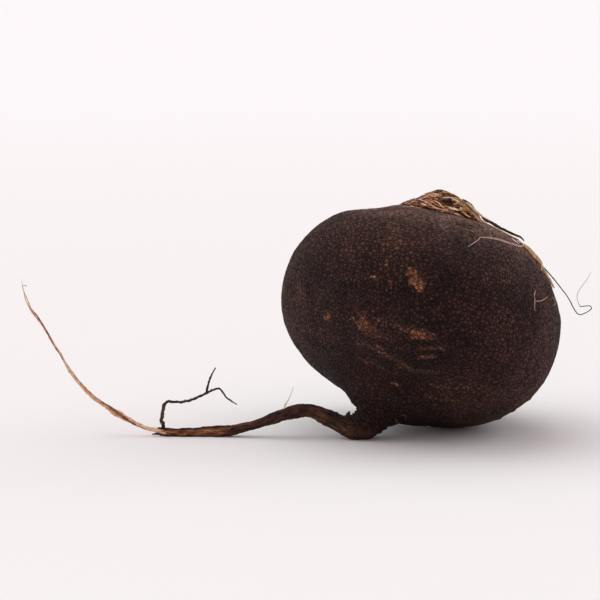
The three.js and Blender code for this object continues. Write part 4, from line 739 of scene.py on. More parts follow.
def skin_material():
    m, nt, p = new_material('radish_skin')
    N = Nodes(nt)
    worn, crack, crown, bark, bloom_and_rim_light, pale, pit_shade = (N.attr(k) for k in ('worn', 'crack', 'crown', 'bark', 'bloom_and_rim_light', 'pale', 'pit_shade'))
    # uneven cells: a net whose lines wander
    def warped(src, scale, size):
        k = nt.nodes.new('ShaderNodeVectorMath')
        k.operation = 'MULTIPLY_ADD'
        N.link(N.noise(scale, 2, 0.5, out='Color'), k.inputs[0])
        k.inputs[1].default_value = (size, size, size)
        N.link(src, k.inputs[2])
        return k.outputs[0]
    w = warped(warped(N.coord, 240, 0.0016), 1100, 0.0010)
    edge = N.voronoi(740, 'DISTANCE_TO_EDGE', w)
    edge2 = N.voronoi(1700, 'DISTANCE_TO_EDGE', w)
    cell = N.voronoi(740, 'F1', w, out='Color')
    sep = nt.nodes.new('ShaderNodeSeparateColor')
    N.link(cell, sep.inputs[0])
    cr, cg = sep.outputs[0], sep.outputs[1]
    groove = N.range(edge, 0.0, 0.25, 1.0, 0.0)
    groove2 = N.range(edge2, 0.0, 0.2, 1.0, 0.0)
    big = N.noise(26, 4, 0.6)
    mid = N.noise(90, 4, 0.62)
    fine = N.noise(2300, 3, 0.65)
    speck_glint = N.noise(760, 3, 0.72)
    base = N.ramp(N.math('ADD', N.math('MULTIPLY', big, 0.55), N.math('MULTIPLY', mid, 0.45)),
                  [(0.36, srgb(20, 11, 13)), (0.48, srgb(35, 22, 22)), (0.60, srgb(74, 47, 42))])
    # each cell its own tone, its middle rubbed paler
    col = N.mix(N.math('MULTIPLY', N.range(cr, 0.0, 1.0, 0.32, 0.95), N.range(N.noise(75, 3, 0.62), 0.36, 0.64, 0.05, 0.46)), base, srgb(112, 75, 65))
    # painted glints: pale specks for light caught on the raised cells
    col = N.mix(N.math('MULTIPLY', N.range(speck_glint, 0.54, 0.72), 0.45), col, srgb(124, 92, 80))
    red = N.range(N.noise(55, 3, 0.6), 0.50, 0.66)
    col = N.mix(N.math('MULTIPLY', red, 0.26), col, srgb(96, 52, 40))
    wz = N.math('MULTIPLY', N.attr('warm'), N.range(N.math('ADD', N.math('MULTIPLY', cg, 0.5), N.math('MULTIPLY', N.noise(500, 3, 0.7), 0.5)), 0.22, 0.62))
    col = N.mix(N.math('MULTIPLY', wz, 0.8), col, srgb(132, 86, 66))
    # worn places: the dark skin is rubbed off the tops of the cells
    wn = N.math('ADD', worn, N.math('MULTIPLY', N.math('SUBTRACT', N.noise(620, 4, 0.75), 0.5), 1.5))
    wm = N.math('MULTIPLY', N.range(wn, 0.16, 0.74), N.range(worn, 0.03, 0.22))
    wcol = N.ramp(N.math('ADD', N.math('MULTIPLY', N.noise(620, 2, 0.6), 0.7), N.math('MULTIPLY', cg, 0.3)),
                  [(0.30, srgb(108, 56, 38)), (0.5, srgb(162, 96, 66)), (0.70, srgb(214, 150, 110))])
    col = N.mix(N.math('MULTIPLY', wm, 0.80), col, wcol)
    cm = N.math('MULTIPLY', crack, N.range(N.noise(420, 3, 0.65), 0.28, 0.48))
    col = N.mix(N.math('MULTIPLY', cm, 0.80), col, srgb(154, 106, 84))
    # paler, purplish skin round the crown, with painted light on the top shoulder and on the left and right rims; flaky
    # cork on the crown
    tm = N.math('MULTIPLY', bloom_and_rim_light, N.range(N.noise(760, 4, 0.8), 0.42, 0.60))
    col = N.mix(tm, col, srgb(188, 142, 126))
    ccol = N.ramp(N.noise(760, 5, 0.7), [(0.34, srgb(36, 18, 13)), (0.50, srgb(92, 54, 38)), (0.62, srgb(150, 98, 68)), (0.76, srgb(204, 160, 124))])
    col = N.mix(crown, col, ccol)
    # bark of the tap root: fine lengthwise streaks, short dark marks across
    streak = N.noise(1500, 4, 0.65, N.attr_vec('along_root', (0.16, 1, 1)))
    patch = N.noise(260, 3, 0.6, N.attr_vec('along_root', (0.6, 1, 1)))
    bcol = N.ramp(N.math('ADD', N.math('MULTIPLY', streak, 0.6), N.math('MULTIPLY', patch, 0.4)),
                  [(0.34, srgb(26, 15, 13)), (0.47, srgb(56, 36, 30)), (0.57, srgb(88, 60, 48)), (0.70, srgb(130, 94, 74))])
    across = N.range(N.noise(900, 2, 0.6, N.attr_vec('along_root', (1.3, 0.35, 0.35))), 0.60, 0.68)
    bcol = N.mix(N.math('MULTIPLY', across, 0.75), bcol, srgb(20, 11, 10))
    col = N.mix(bark, col, bcol)
    pcol = N.ramp(streak, [(0.36, srgb(70, 36, 25)), (0.5, srgb(150, 94, 66)), (0.66, srgb(210, 154, 116))])
    col = N.mix(pale, col, pcol)
    # grooves of the net stay dark: the skin's own dark net, deepened with painted shade in the grooves
    keep = N.math('MULTIPLY', N.math('SUBTRACT', 1.0, N.math('MULTIPLY', crown, 0.75)), N.math('SUBTRACT', 1.0, N.math('MULTIPLY', bark, 0.85)))
    soft = N.math('SUBTRACT', 1.0, N.math('MULTIPLY', N.math('MAXIMUM', bloom_and_rim_light, wm), 0.38))
    gm = N.math('MULTIPLY', N.math('MULTIPLY', N.math('MULTIPLY', groove, 0.92), keep), soft)
    # painted shade: a darker band all round the neck, where globe and tap root meet on the ground
    col = N.mix(N.math('MULTIPLY', N.attr('neck_painted_shade'), 0.62), col, srgb(26, 16, 16))
    col = N.mix(gm, col, srgb(20, 12, 13))
    # pale dusty bloom on the top shoulder, mixed with painted sheen on the top and the side rims
    dust_and_sheen = N.math('MULTIPLY', N.math('MULTIPLY', bloom_and_rim_light, 0.74), N.range(N.noise(820, 3, 0.7), 0.45, 0.58))
    col = N.mix(dust_and_sheen, col, srgb(184, 142, 130))
    # finer net: dark lines, partly painted shade in the grooves
    col = N.mix(N.math('MULTIPLY', N.math('MULTIPLY', groove2, 0.32), keep), col, srgb(26, 15, 14))
    # painted shade in the crown's pits and clefts and in the open leaf foot
    col = N.mix(N.math('MULTIPLY', pit_shade, 0.85), col, N.ramp(N.noise(1200, 3, 0.7), [(0.35, srgb(26, 14, 11)), (0.6, srgb(74, 50, 38))]))
    N.link(col, p.inputs['Base Color'])
    p.inputs['Specular IOR Level'].default_value = 0.09
    p.inputs['Sheen Weight'].default_value = 0.04
    p.inputs['Sheen Roughness'].default_value = 0.45
    p.inputs['Sheen Tint'].default_value = (0.85, 0.50, 0.42, 1)
    N.link(N.range(N.math('ADD', groove, mid), 0.3, 1.4, 0.55, 0.88, 'LINEAR'), p.inputs['Roughness'])
    h = N.math('MULTIPLY', N.math('ADD', N.math('MULTIPLY', groove, -1.0), N.math('MULTIPLY', groove2, -0.3)), keep)
    h = N.math('ADD', h, N.math('MULTIPLY', N.math('MULTIPLY', cr, 0.5), keep))
    h = N.math('ADD', h, N.math('MULTIPLY', fine, 0.5))
    h = N.math('ADD', h, N.math('MULTIPLY', N.math('MULTIPLY', streak, bark), 1.5))
    b1 = N.bump(h, 1.0, 0.0007)
    b2 = N.bump(N.noise(150, 5, 0.6), 0.45, 0.0012, b1)
    N.link(b2, p.inputs['Normal'])
    return m


def dry_material(name, dark, mid, light, scale=(1, 1, 1), streak=260, rough=0.78, green=None, bump=0.5, pinkish=None):
    m, nt, p = new_material(name)
    N = Nodes(nt)
    along = N.attr('along')
    tint = N.attr('tint')
    f = N.noise(streak, 5, 0.68, N.mapping(scale), 0.4)
    g = N.noise(streak * 4.5, 3, 0.6)
    v = N.math('ADD', N.math('MULTIPLY', f, 0.72), N.math('MULTIPLY', g, 0.28))
    v = N.math('ADD', v, N.math('MULTIPLY', N.math('SUBTRACT', tint, 0.5), 0.46))
    col = N.ramp(v, [(0.28, dark), (0.48, mid), (0.68, light), (0.86, srgb(240, 226, 206))])
    if pinkish is not None:
        pk = N.ramp(v, pinkish)
        col = N.mix(N.attr('pink'), col, pk)
        col = N.mix(N.math('MULTIPLY', N.attr('grey'), 0.8), col, N.ramp(v, [(0.3, srgb(66, 54, 50)), (0.5, srgb(128, 112, 104)), (0.7, srgb(168, 150, 138))]))
    if green:
        col = N.mix(N.math('MULTIPLY', N.range(N.noise(340, 2, 0.5), 0.42, 0.6), N.attr('green')), col, green)
    col = N.mix(N.math('MULTIPLY', N.attr('dark'), 0.9), col, srgb(34, 20, 15))
    N.link(col, p.inputs['Base Color'])
    p.inputs['Specular IOR Level'].default_value = 0.3
    N.link(N.range(g, 0.3, 0.7, rough - 0.1, rough + 0.12, 'LINEAR'), p.inputs['Roughness'])
    N.link(N.bump(N.math('ADD', f, N.math('MULTIPLY', g, 0.5)), bump, 0.0004), p.inputs['Normal'])
    return m


MAT_SKIN = skin_material()
MAT_LEAF = dry_material('dry_leaf_base', srgb(46, 23, 14), srgb(164, 102, 56), srgb(242, 194, 134), (1, 1, 1), 560, green=srgb(176, 158, 54),
                        pinkish=[(0.28, srgb(52, 23, 16)), (0.47, srgb(150, 86, 60)), (0.66, srgb(230, 176, 142)), (0.86, srgb(246, 226, 212))])
MAT_STALK = dry_material('dry_stalk', srgb(84, 56, 40), srgb(172, 134, 94), srgb(226, 198, 162), (1, 1, 1), 700,
                         pinkish=[(0.28, srgb(84, 52, 44)), (0.48, srgb(150, 112, 98)), (0.70, srgb(214, 184, 168))])
MAT_DARK = dry_material('dark_fibre', srgb(22, 14, 12), srgb(50, 34, 29), srgb(110, 80, 64), (1, 1, 1), 700)
MAT_CORE = dry_material('core_fibre', srgb(86, 46, 32), srgb(172, 114, 82), srgb(228, 178, 140), (1, 1, 1), 700)


# ---------------------------------------------------------------- the root: globe, neck, tap root
def stations():
    """section numbers spaced evenly over the surface"""
    fine = np.linspace(0, 57.4, 8000)
    pts = np.stack([skin_point(fine, np.full(len(fine), a)) for a in np.radians([0, 90, 180, 270])], 0)
    d = np.linalg.norm(np.diff(pts, axis=1), axis=2).max(0)
    h = np.where(fine[:-1] < 6.6, 0.27, np.where(fine[:-1] < 19, 0.86, np.where(fine[:-1] < 24, 0.5, 0.34)))
    s = np.r_[0, np.cumsum(d / h)]
    return np.interp(np.arange(0, int(s[-1]) + 1), s, fine)


TS = stations()
SIZE = np.linalg.norm(catmull(SECTIONS, TS)[:, 3:6], axis=1)


def sides_at(t, r):
    if t < 6.6:
        return 96 if r < 4 else 192 if r < 8 else 384
    if t < 12:
        return 384
    return 384 if r > 21 else 192 if r > 10 else 96 if r > 3.6 else 48


SEGS = [sides_at(t, r) for t, r in zip(TS, SIZE)]
vt, vp, ring0 = [], [], []
count = 0
for t, s in zip(TS[1:], SEGS[1:]):
    ring0.append(count)
    vt.append(np.full(s, t))
    vp.append(np.arange(s) * 2 * math.pi / s)
    count += s
segs = SEGS[1:]
vt, vp = np.concatenate(vt), np.concatenate(vp)
faces = []
for j in range(len(segs) - 1):
    a, b, A, B = segs[j], segs[j + 1], ring0[j], ring0[j + 1]
    if a == b:
        for i in range(a):
            k = (i + 1) % a
            faces.append([A + i, B + i, B + k, A + k])
    elif a == 2 * b:
        for i in range(b):
            k = (i + 1) % b
            faces += [[A + 2 * i, B + i, A + 2 * i + 1], [A + 2 * i + 1, B + i, B + k], [A + 2 * i + 1, B + k, A + (2 * i + 2) % a]]
    else:
        for i in range(a):
            k = (i + 1) % a
            faces += [[A + i, B + 2 * i, B + 2 * i + 1], [A + i, B + 2 * i + 1, A + k], [A + k, B + 2 * i + 1, B + (2 * i + 2) % b]]
pole = count
for i in range(segs[0]):
    faces.append([pole, ring0[0] + i, ring0[0] + (i + 1) % segs[0]])
for i in range(segs[-1]):
    faces.append([pole + 1, ring0[-1] + (i + 1) % segs[-1], ring0[-1] + i])
P = skin_point(vt, vp)
NRM = skin_normal(vt, vp)
cen = catmull(SECTIONS, vt)[:, :3]
flip = np.sign(np.einsum('ij,ij->i', NRM, P - cen))
NRM *= flip[:, None]
rad = np.linalg.norm(P - cen, axis=1)

globe_w = smooth(5.0, 6.4, vt) * (1 - smooth(19, 22, vt))
crown_w = 1 - smooth(5.5, 6.15, vt + 0.3 * fbm(P / 2.2, 2))
neck_w = smooth(17.5, 20.5, vt) * (1 - smooth(25.5, 28, vt))
bark_w = smooth(21.5, 26.5, vt + 0.8 * fbm(P / 4, 2))
d = 0.30 * fbm(P / 17, 2) * globe_w + 0.11 * fbm(P / 4.2 + 9, 3) * smooth(5.5, 7, vt) * (1 - 0.5 * bark_w)
# fine grain of the skin
d += 0.045 * vnoise(P / 1.2) * globe_w
# cork of the crown: ridges that run down it, and pits
ring_p = np.stack([vt * 2.6 + 0.5 * vnoise(P / 4), np.cos(vp) * 2.2 + 9, np.sin(vp) * 2.2], 1)
ridge = np.abs(fbm(ring_p, 3))
d += crown_w * (0.5 * (0.42 - ridge) + 0.12 * fbm(P / 1.0 + 3, 2))
# shallow ring where the crown meets the shoulder
d -= 0.22 * np.exp(-((vt - 6.0) / 0.14) ** 2)
# folds across the neck, and rings with lengthwise furrows on the tap root
d += neck_w * 0.20 * np.sin(vt * 7.0 + 2.0 * vnoise(P / 3)) * smooth(0, 1, np.clip(rad / 6, 0, 1))
rings = np.abs(vnoise(np.stack([vt * 1.9, np.cos(vp) * 0.8, np.sin(vp) * 0.8], 1)))
d += bark_w * np.minimum(rad, 3) * (0.10 * (0.45 - rings) + 0.06 * fbm(np.stack([vt * 0.35, np.cos(vp) * 2.2, np.sin(vp) * 2.2], 1), 3))
d += bark_w * 0.05 * fbm(P / 1.1, 2)
for (ku, kv, kw), kr, kh in KNOBS:
    d += kh * np.exp(-((P[:, 0] - ku) ** 2 + (P[:, 1] - kv) ** 2 + (P[:, 2] - kw) ** 2) / kr ** 2)
# painted shade: a darker band all round the neck where it rests on the ground
neck_painted_shade = np.exp(-((vt - 21.3) / 2.7) ** 2) * (0.85 + 0.3 * fbm(P / 3 + 50, 2))


def crack_mask(p, lines, width):
    out = np.zeros(len(p))
    low = np.zeros(len(p))
    for L in lines:
        L = np.asarray(L)
        best = np.full(len(p), 9.0)
        box = (p[:, 0] > L[:, 0].min() - 3) & (p[:, 0] < L[:, 0].max() + 3) & (p[:, 1] > L[:, 1].min() - 3) & (p[:, 1] < L[:, 1].max() + 3) & (p[:, 2] < 0)
        q = p[box]
        bb = np.full(len(q), 9.0)
        wob = 0.35 * vnoise(q / 2.2)
        for a, b in zip(L[:-1], L[1:]):
            ab = b - a
            k = np.clip(((q - a) @ ab) / (ab @ ab), 0, 1)
            bb = np.minimum(bb, np.linalg.norm(q - a - k[:, None] * ab, axis=1) + wob)
        best[box] = bb
        out = np.maximum(out, np.exp(-(np.maximum(best, 0) / width) ** 2))
    return out


crack = crack_mask(P, CRACKS, 0.5)
# more healed cracks of the same kind on the sides that face away
extra = []
for _ in range(16):
    a0 = rng.uniform(20, 160) * math.pi / 180
    t0 = rng.uniform(9, 16)
    extra.append([(t0 + 0.12 * k + 0.25 * math.sin(k), a0 + 0.05 * k) for k in range(int(rng.integers(4, 8)))])
for L in extra:
    q = skin_point(np.array([a for a, b in L]), np.array([b for a, b in L]))
    best = np.full(len(P), 9.0)
    near = np.linalg.norm(P - q.mean(0), axis=1) < 22
    for a, b in zip(q[:-1], q[1:]):
        ab = b - a
        k = np.clip(((P[near] - a) @ ab) / (ab @ ab), 0, 1)
        best[near] = np.minimum(best[near], np.linalg.norm(P[near] - a - k[:, None] * ab, axis=1) + 0.3 * vnoise(P[near] / 2.2))
    crack = np.maximum(crack, 0.8 * np.exp(-(np.maximum(best, 0) / 0.6) ** 2))
d -= 0.16 * crack
worn = np.zeros(len(P))
for u, v, w, ra, rb, ang, s in WORN:
    c, sn = math.cos(math.radians(ang)), math.sin(math.radians(ang))
    du, dv = P[:, 0] - u, P[:, 1] - v
    e = ((du * c - dv * sn) / (ra * 1.25)) ** 2 + ((du * sn + dv * c) / (rb * 1.25)) ** 2
    thin = 0.9 if min(ra, rb) < 1.2 else 0.95 if max(ra, rb) < 5.5 else 1.0
    worn = np.maximum(worn, s * thin * np.exp(-e ** 1.3) * (P[:, 2] < w + 9))
for _ in range(26):
    t0, a0 = rng.uniform(7, 17), rng.uniform(10, 170) * math.pi / 180
    q = skin_point(np.array([t0]), np.array([a0]))[0]
    s, ra = rng.uniform(0.25, 0.8), rng.uniform(0.8, 3.2)
    dd = P - q
    worn = np.maximum(worn, s * np.exp(-(np.sum(dd * dd * np.array([0.6, 1.6, 0.6]), 1) / ra ** 2)))
worn = np.maximum(worn, 0.24 * smooth(0.35, 0.9, fbm(P / 9 + 40, 3)) * globe_w * smooth(-8, 2, P[:, 2]))
warm = 0.35 * smooth(0.1, 0.8, fbm(P / 12 + 70, 2)) * globe_w * smooth(-8, 6, P[:, 2])
for q, wa, wb, s in WARM:
    warm = np.maximum(warm, s * np.exp(-((P[:, 0] - q[0]) / wa) ** 2 - ((P[:, 1] - q[1]) / wb) ** 2) * (P[:, 2] < q[2] + 12))
d -= 0.10 * smooth(0.3, 0.8, worn)
# paler top shoulder round the crown: the skin's dusty bloom, partly painted light on the top
bloom_and_rim_light = (0.80 * smooth(10.2, 7.2, vt) + 0.22 * smooth(12.5, 8, vt)) * (0.75 + 0.5 * fbm(P / 6 + 12, 2))
# painted light: lighter rims on the left and right of the globe
bloom_and_rim_light = bloom_and_rim_light + 0.13 * np.cos(vp) ** 2 * smooth(20, 16, vt) * np.clip(0.6 + 0.7 * fbm(P / 5 + 31, 3), 0, 2)
bloom_and_rim_light = np.clip(bloom_and_rim_light, 0, 1) * (1 - crown_w)
# the tap root's bare core near the end of the bark
pale = smooth(45.0, 48.5, vt + 1.2 * vnoise(P / 1.5)) * smooth(0.25, 0.75, np.exp(-((np.degrees(vp) - 262 + 16 * vnoise(np.stack([vt * 0.8, 0 * vt, 0 * vt], 1))) / 46.0) ** 2))
d -= 0.22 * pale
# pits and clefts of the crown, and the open foot of a leaf stalk, darkened with painted shade
pit_shade = np.zeros(len(P))
for L, width in CLEFTS:
    L = np.asarray(L)
    near = np.linalg.norm(P - L.mean(0), axis=1) < 12
    best = np.full(near.sum(), 9.0)
    for a, b in zip(L[:-1], L[1:]):
        ab = b - a
        k = np.clip(((P[near] - a) @ ab) / (ab @ ab), 0, 1)
        best = np.minimum(best, np.linalg.norm(P[near] - a - k[:, None] * ab, axis=1))
    m_ = np.exp(-(best / (width * 1.15 + 0.08)) ** 2)
    pit_shade[near] = np.maximum(pit_shade[near], m_)
    d[near] -= 0.55 * m_
h_at, h_n, h_a, h_b = (np.asarray(HOLLOW[k], float) for k in ('at', 'n', 'a', 'b'))
rel = P - h_at
e = np.sqrt((rel @ h_a / (h_a @ h_a)) ** 2 + (rel @ h_b / (h_b @ h_b)) ** 2 + (rel @ h_n / 3.0) ** 2)
m_ = smooth(1.12, 0.72, e)
pit_shade = np.maximum(pit_shade, 0.62 * m_)
d -= 1.0 * m_ - 0.22 * np.exp(-((e - 1.15) / 0.16) ** 2)
# clefts of the same kind round the rest of the crown, darkened with painted shade
for _ in range(34):
    t0, a0 = rng.uniform(2.0, 5.7), rng.uniform(-25, 185) * math.pi / 180
    n_ = int(rng.integers(3, 6))
    da = rng.uniform(1.2, 2.2) / max(2.0, 2.6 * t0)
    q = skin_point(np.array([t0 + rng.uniform(-0.12, 0.12) * k for k in range(n_)]), np.array([a0 + da * k for k in range(n_)]))
    near = np.linalg.norm(P - q.mean(0), axis=1) < 9
    best = np.full(near.sum(), 9.0)
    for a, b in zip(q[:-1], q[1:]):
        ab = b - a
        k = np.clip(((P[near] - a) @ ab) / (ab @ ab), 0, 1)
        best = np.minimum(best, np.linalg.norm(P[near] - a - k[:, None] * ab, axis=1))
    m_ = np.exp(-(best / rng.uniform(0.22, 0.4)) ** 2)
    pit_shade[near] = np.maximum(pit_shade[near], m_)
    d[near] -= 0.5 * m_
# place along the tap root, for its lengthwise streaks
arc_t = np.arange(len(SECTIONS))
arc = np.r_[0, np.cumsum(np.linalg.norm(np.diff(SECTIONS[:, :3], axis=0), axis=1))]
along_root = np.stack([np.interp(vt, arc_t, arc), rad * np.cos(vp), rad * np.sin(vp)], 1) * MM
V = P + NRM * d[:, None]
# the bark's ragged end
endw = smooth(55.4, 57.4, vt)
V -= NRM * (endw * rad * (0.25 + 0.2 * np.sin(vp * 5 + 1)))[:, None]
capA = V[:segs[0]].mean(0)
capB = V[-segs[-1]:].mean(0) + np.array([-0.3, 0.02, 0])
V = np.vstack([V, capA, capB])
W = to_world(V)
# nothing reaches below the ground
flat = smooth(0.0004, 0.0, W[:, 2])
W[:, 2] = np.where(W[:, 2] < 0.00002, 0.00002, W[:, 2])
pad = lambda a: np.r_[a, a[0], a[-1]]
skin = mesh_object('radish_skin', W, faces, MAT_SKIN,
                   dict(worn=pad(worn), crack=pad(crack), crown=pad(crown_w), bark=pad(bark_w), bloom_and_rim_light=pad(bloom_and_rim_light), pale=pad(pale), pit_shade=pad(pit_shade), neck_painted_shade=pad(neck_painted_shade), warm=pad(warm),
                        along_root=np.vstack([along_root, along_root[0], along_root[-1]])),
                   ('radish_root',))

print('skin triangles', sum(len(f) - 2 for f in faces))
scraps = Heap()
for pts, kw in THORNS:
    v, f, al = tube(pts, **kw)
    scraps.add(v, f, along=al, tint=0.35)
# loose edges of the bark along the bare core
tq = np.linspace(46.5, 57.4, 16)
for deg, r0, out_ in ((338, 0.34, 2.4), (204, 0.26, 0.9)):
    e_ = skin_point(tq, np.full(len(tq), math.radians(deg)) + 0.12 * np.sin(tq * 2.1))
    e_ = np.vstack([e_, e_[-1] + [-out_ * 0.5, 0.05, 0], e_[-1] + [-out_, -0.05, 0.1]])
    r_ = np.r_[0.1, np.full(len(tq) - 1, r0) * (1 + 0.25 * np.sin(tq[1:] * 3.3)), r0 * 0.9, r0 * 0.45]
    v, f, al = tube(np.c_[e_, r_], sides=10, step=0.25, rough=0.45, seed=3)
    scraps.add(v, f, along=al, tint=0.35)
for L in FINE_HAIRS:
    v, f, al = tube(L, sides=6, step=0.2)
    scraps.add(v, f, along=al, tint=0.95)
scraps.build('bark_thorns', MAT_DARK, 'root_bark')

# bare core of the tap root: three twisted fibres from inside the bark to the tip
core = Heap()
tt = np.linspace(44.5, len(SECTIONS) - 1, 130)
q = catmull(SECTIONS, tt)
cc, rr = q[:, :3], np.linalg.norm(q[:, 3:6], axis=1)
tan = np.gradient(cc, axis=0)
tan /= np.linalg.norm(tan, axis=1, keepdims=True)
b = np.tile(np.array([0, 0, 1.0]), (len(tt), 1))
a = np.cross(tan, b)
s = np.r_[0, np.cumsum(np.linalg.norm(np.diff(cc, axis=0), axis=1))]
spread = 0.75 + 0.2 * np.sin(s * 0.16 + 0.6)
open_gap = np.zeros(len(tt))
for at, wide in ((76.2, 0.30), (74.0, 0.22), (68.4, 0.22), (63.0, 0.12)):
    open_gap += wide * np.exp(-((tt - at) / 0.8) ** 2)
for k, (ph, part, tint, dk) in enumerate(((0.0, 0.62, 0.95, 0.0), (2.2, 0.56, 0.72, 0.0), (4.2, 0.42, 0.35, 0.35))):
    ang = ph + s * 0.17
    off = rr * (0.40 * spread) + open_gap
    c3 = cc + a * (off * np.cos(ang))[:, None] + b * (off * np.sin(ang))[:, None]
    inside = smooth(57, 55, tt)
    c3 = c3 - np.stack([0 * inside, 0.25 * inside, -0.15 * inside], 1)
    r3 = np.maximum(rr * part * (1 - 0.3 * inside) * (1 + 0.16 * smooth(57, 59, tt) * smooth(74, 70, tt)), 0.13) * np.clip((len(SECTIONS) - 1 - tt) / 1.5 + 0.45, 0, 1)
    if k == 2:
        keep = tt < 75.3
        c3, r3 = c3[keep], r3[keep]
    v, f, al = tube(np.c_[c3, r3], 10, 0.35, rough=0.22, seed=k + 2, ridges=3, twist=0.5)
    core.add(v, f, along=al, tint=tint, dark=dk)
v, f, al = tube([[-135.25, 10.9, 0.2, .14], [-135.9, 11.15, 0.0, .12], [-136.7, 10.9, -0.1, .08]], 6, 0.2)
core.add(v, f, along=al, tint=0.6)
core.build('core_fibres', MAT_CORE, 'dry_leaf', ('radish_root',))


# ---------------------------------------------------------------- strands
def strands(name, parts, material, slot, replaces=()):
    h = Heap()
    for key, kw in parts:
        pts = STRANDS[key] if isinstance(key, str) else key
        kw = dict(kw)
        lay = {k: kw.pop(k) for k in ('tint', 'dark', 'pink') if k in kw}
        v, f, al = tube(pts, **kw)
        h.add(v, f, along=al, **lay)
    return h.build(name, material, slot, replaces)


def shift(key, du, dv, dw, k=1.0):
    return [[p[0] + du, p[1] + dv, p[2] + dw, p[3] * k] for p in STRANDS[key]]


strands('dry_stalk', [
    ('pale', dict(tint=0.9, flat=0.5, rough=0.2)), ('tan', dict(tint=0.45, flat=0.5, rough=0.25)),
    ('ribbon_c', dict(tint=1.0, flat=0.4, rough=0.25, flat_dir=(0.6, 0.7, 0.1))),
    (shift('ribbon_c', 0.25, -0.35, -0.4, 0.45), dict(tint=0.5, rough=0.2)),
    (shift('ribbon_f', 0, 0, 0, 0.86), dict(tint=0.5, flat=0.34, rough=0.35, flat_dir=(0.6, 0.5, -0.6), seed=5)),
    ('ribbon_f2', dict(tint=0.68, flat=0.5, rough=0.4, seed=8)),
    ('strand_h', dict(tint=0.72, flat=0.6, rough=0.3, seed=4)),
    ('black', dict(tint=0.2, dark=0.9, rough=0.2)), ('black2', dict(tint=0.2, dark=1.0, rough=0.25)),
    ('line_d', dict(tint=0.3, dark=0.75, rough=0.2)),
    (shift('black', -0.05, -0.42, 0.1, 1.25), dict(tint=0.5, rough=0.3, seed=12)),
    (shift('black', -0.12, -0.78, 0.2, 1.25), dict(tint=0.3, rough=0.3, seed=13)),
    (shift('black', -0.2, -1.15, 0.3, 1.25), dict(tint=0.5, rough=0.3, seed=16)),
    (shift('ribbon_f', -0.55, -0.5, 0.1, 0.8), dict(tint=0.3, flat=0.6, rough=0.3, seed=14)),
    (shift('strand_h', -0.3, -0.1, -0.1, 0.8), dict(tint=0.45, flat=0.6, rough=0.3, seed=15)),
], MAT_STALK, 'dry_leaf', ('dry_leaf_stalk',))
strands('pale_fibre', [(shift('fibre_e', 0, 0, 0, 0.6), dict(tint=0.95, pink=1.0, rough=0.25, sides=8, step=0.3)), (shift('fibre_e', 0.1, 0.32, -0.05, 0.36)[:8], dict(tint=0.9, pink=1.0, rough=0.25, sides=8, step=0.3)), (shift('twig_e', 0, 0, 0, 0.7), dict(tint=0.6, pink=1.0, sides=6, step=0.2))], MAT_STALK, 'dry_leaf', ('stalk_fibre',))
strands('thread', [('stalk_thread', dict(sides=8, step=0.25, rough=0.15)),
    ([[53.1, 3.9, -14.6, .1], [52.1, 6.0, -15.2, .075], [52.0, 8.2, -15.6, .07], [53.2, 10.4, -15.8, .065], [55.4, 13.3, -15.6, .06], [56.5, 15.5, -15.4, .03]], dict(sides=6, step=0.3))],
    MAT_DARK, 'dark_fibre', ('stalk_thread',))
strands('side_rootlet', [(shift('root_i', 0, 0, 0, 0.76), dict(sides=8, step=0.2, rough=0.3, tint=0.62, pink=0.8)), (shift('root_i2', 0, 0, 0, 0.8), dict(sides=8, step=0.2, rough=0.3, tint=0.58, pink=0.8)), (shift('loop_i', 0, 0, 0, 0.9), dict(sides=6, step=0.2, tint=0.7, pink=0.8))],
    MAT_STALK, 'dark_fibre', ('skin_rootlet',))
root_part = [(shift('side_root', 0, 0, 0, 1.35), dict(sides=12, step=0.3, rough=0.4, ridges=3, twist=0.8, tint=0.5)), (shift('side_root_twig', 0, 0, 0, 1.7), dict(sides=8, step=0.25, rough=0.3, tint=0.5))]
base = STRANDS['side_root'][0]
root_part.append(([[base[0] - 0.1, base[1] - 2.6, base[2] + 0.2, .8], [base[0], base[1] - 1.0, base[2], .62], base], dict(sides=12, step=0.25, rough=0.3)))
strands('black_side_root', root_part, MAT_DARK, 'root_bark', ('side_root',))
th = STRANDS['taproot_hair']
strands('peeled_hair', [([[th[0][0] - 0.3, th[0][1] - 1.5, th[0][2] - 0.9, .1], [th[0][0], th[0][1], th[0][2], .34], [th[1][0], th[1][1], th[1][2], .2]] + th[2:],
    dict(sides=8, step=0.25, flat=0.5, rough=0.2, tint=1.25))], MAT_STALK, 'dry_leaf', ('taproot_hair',))


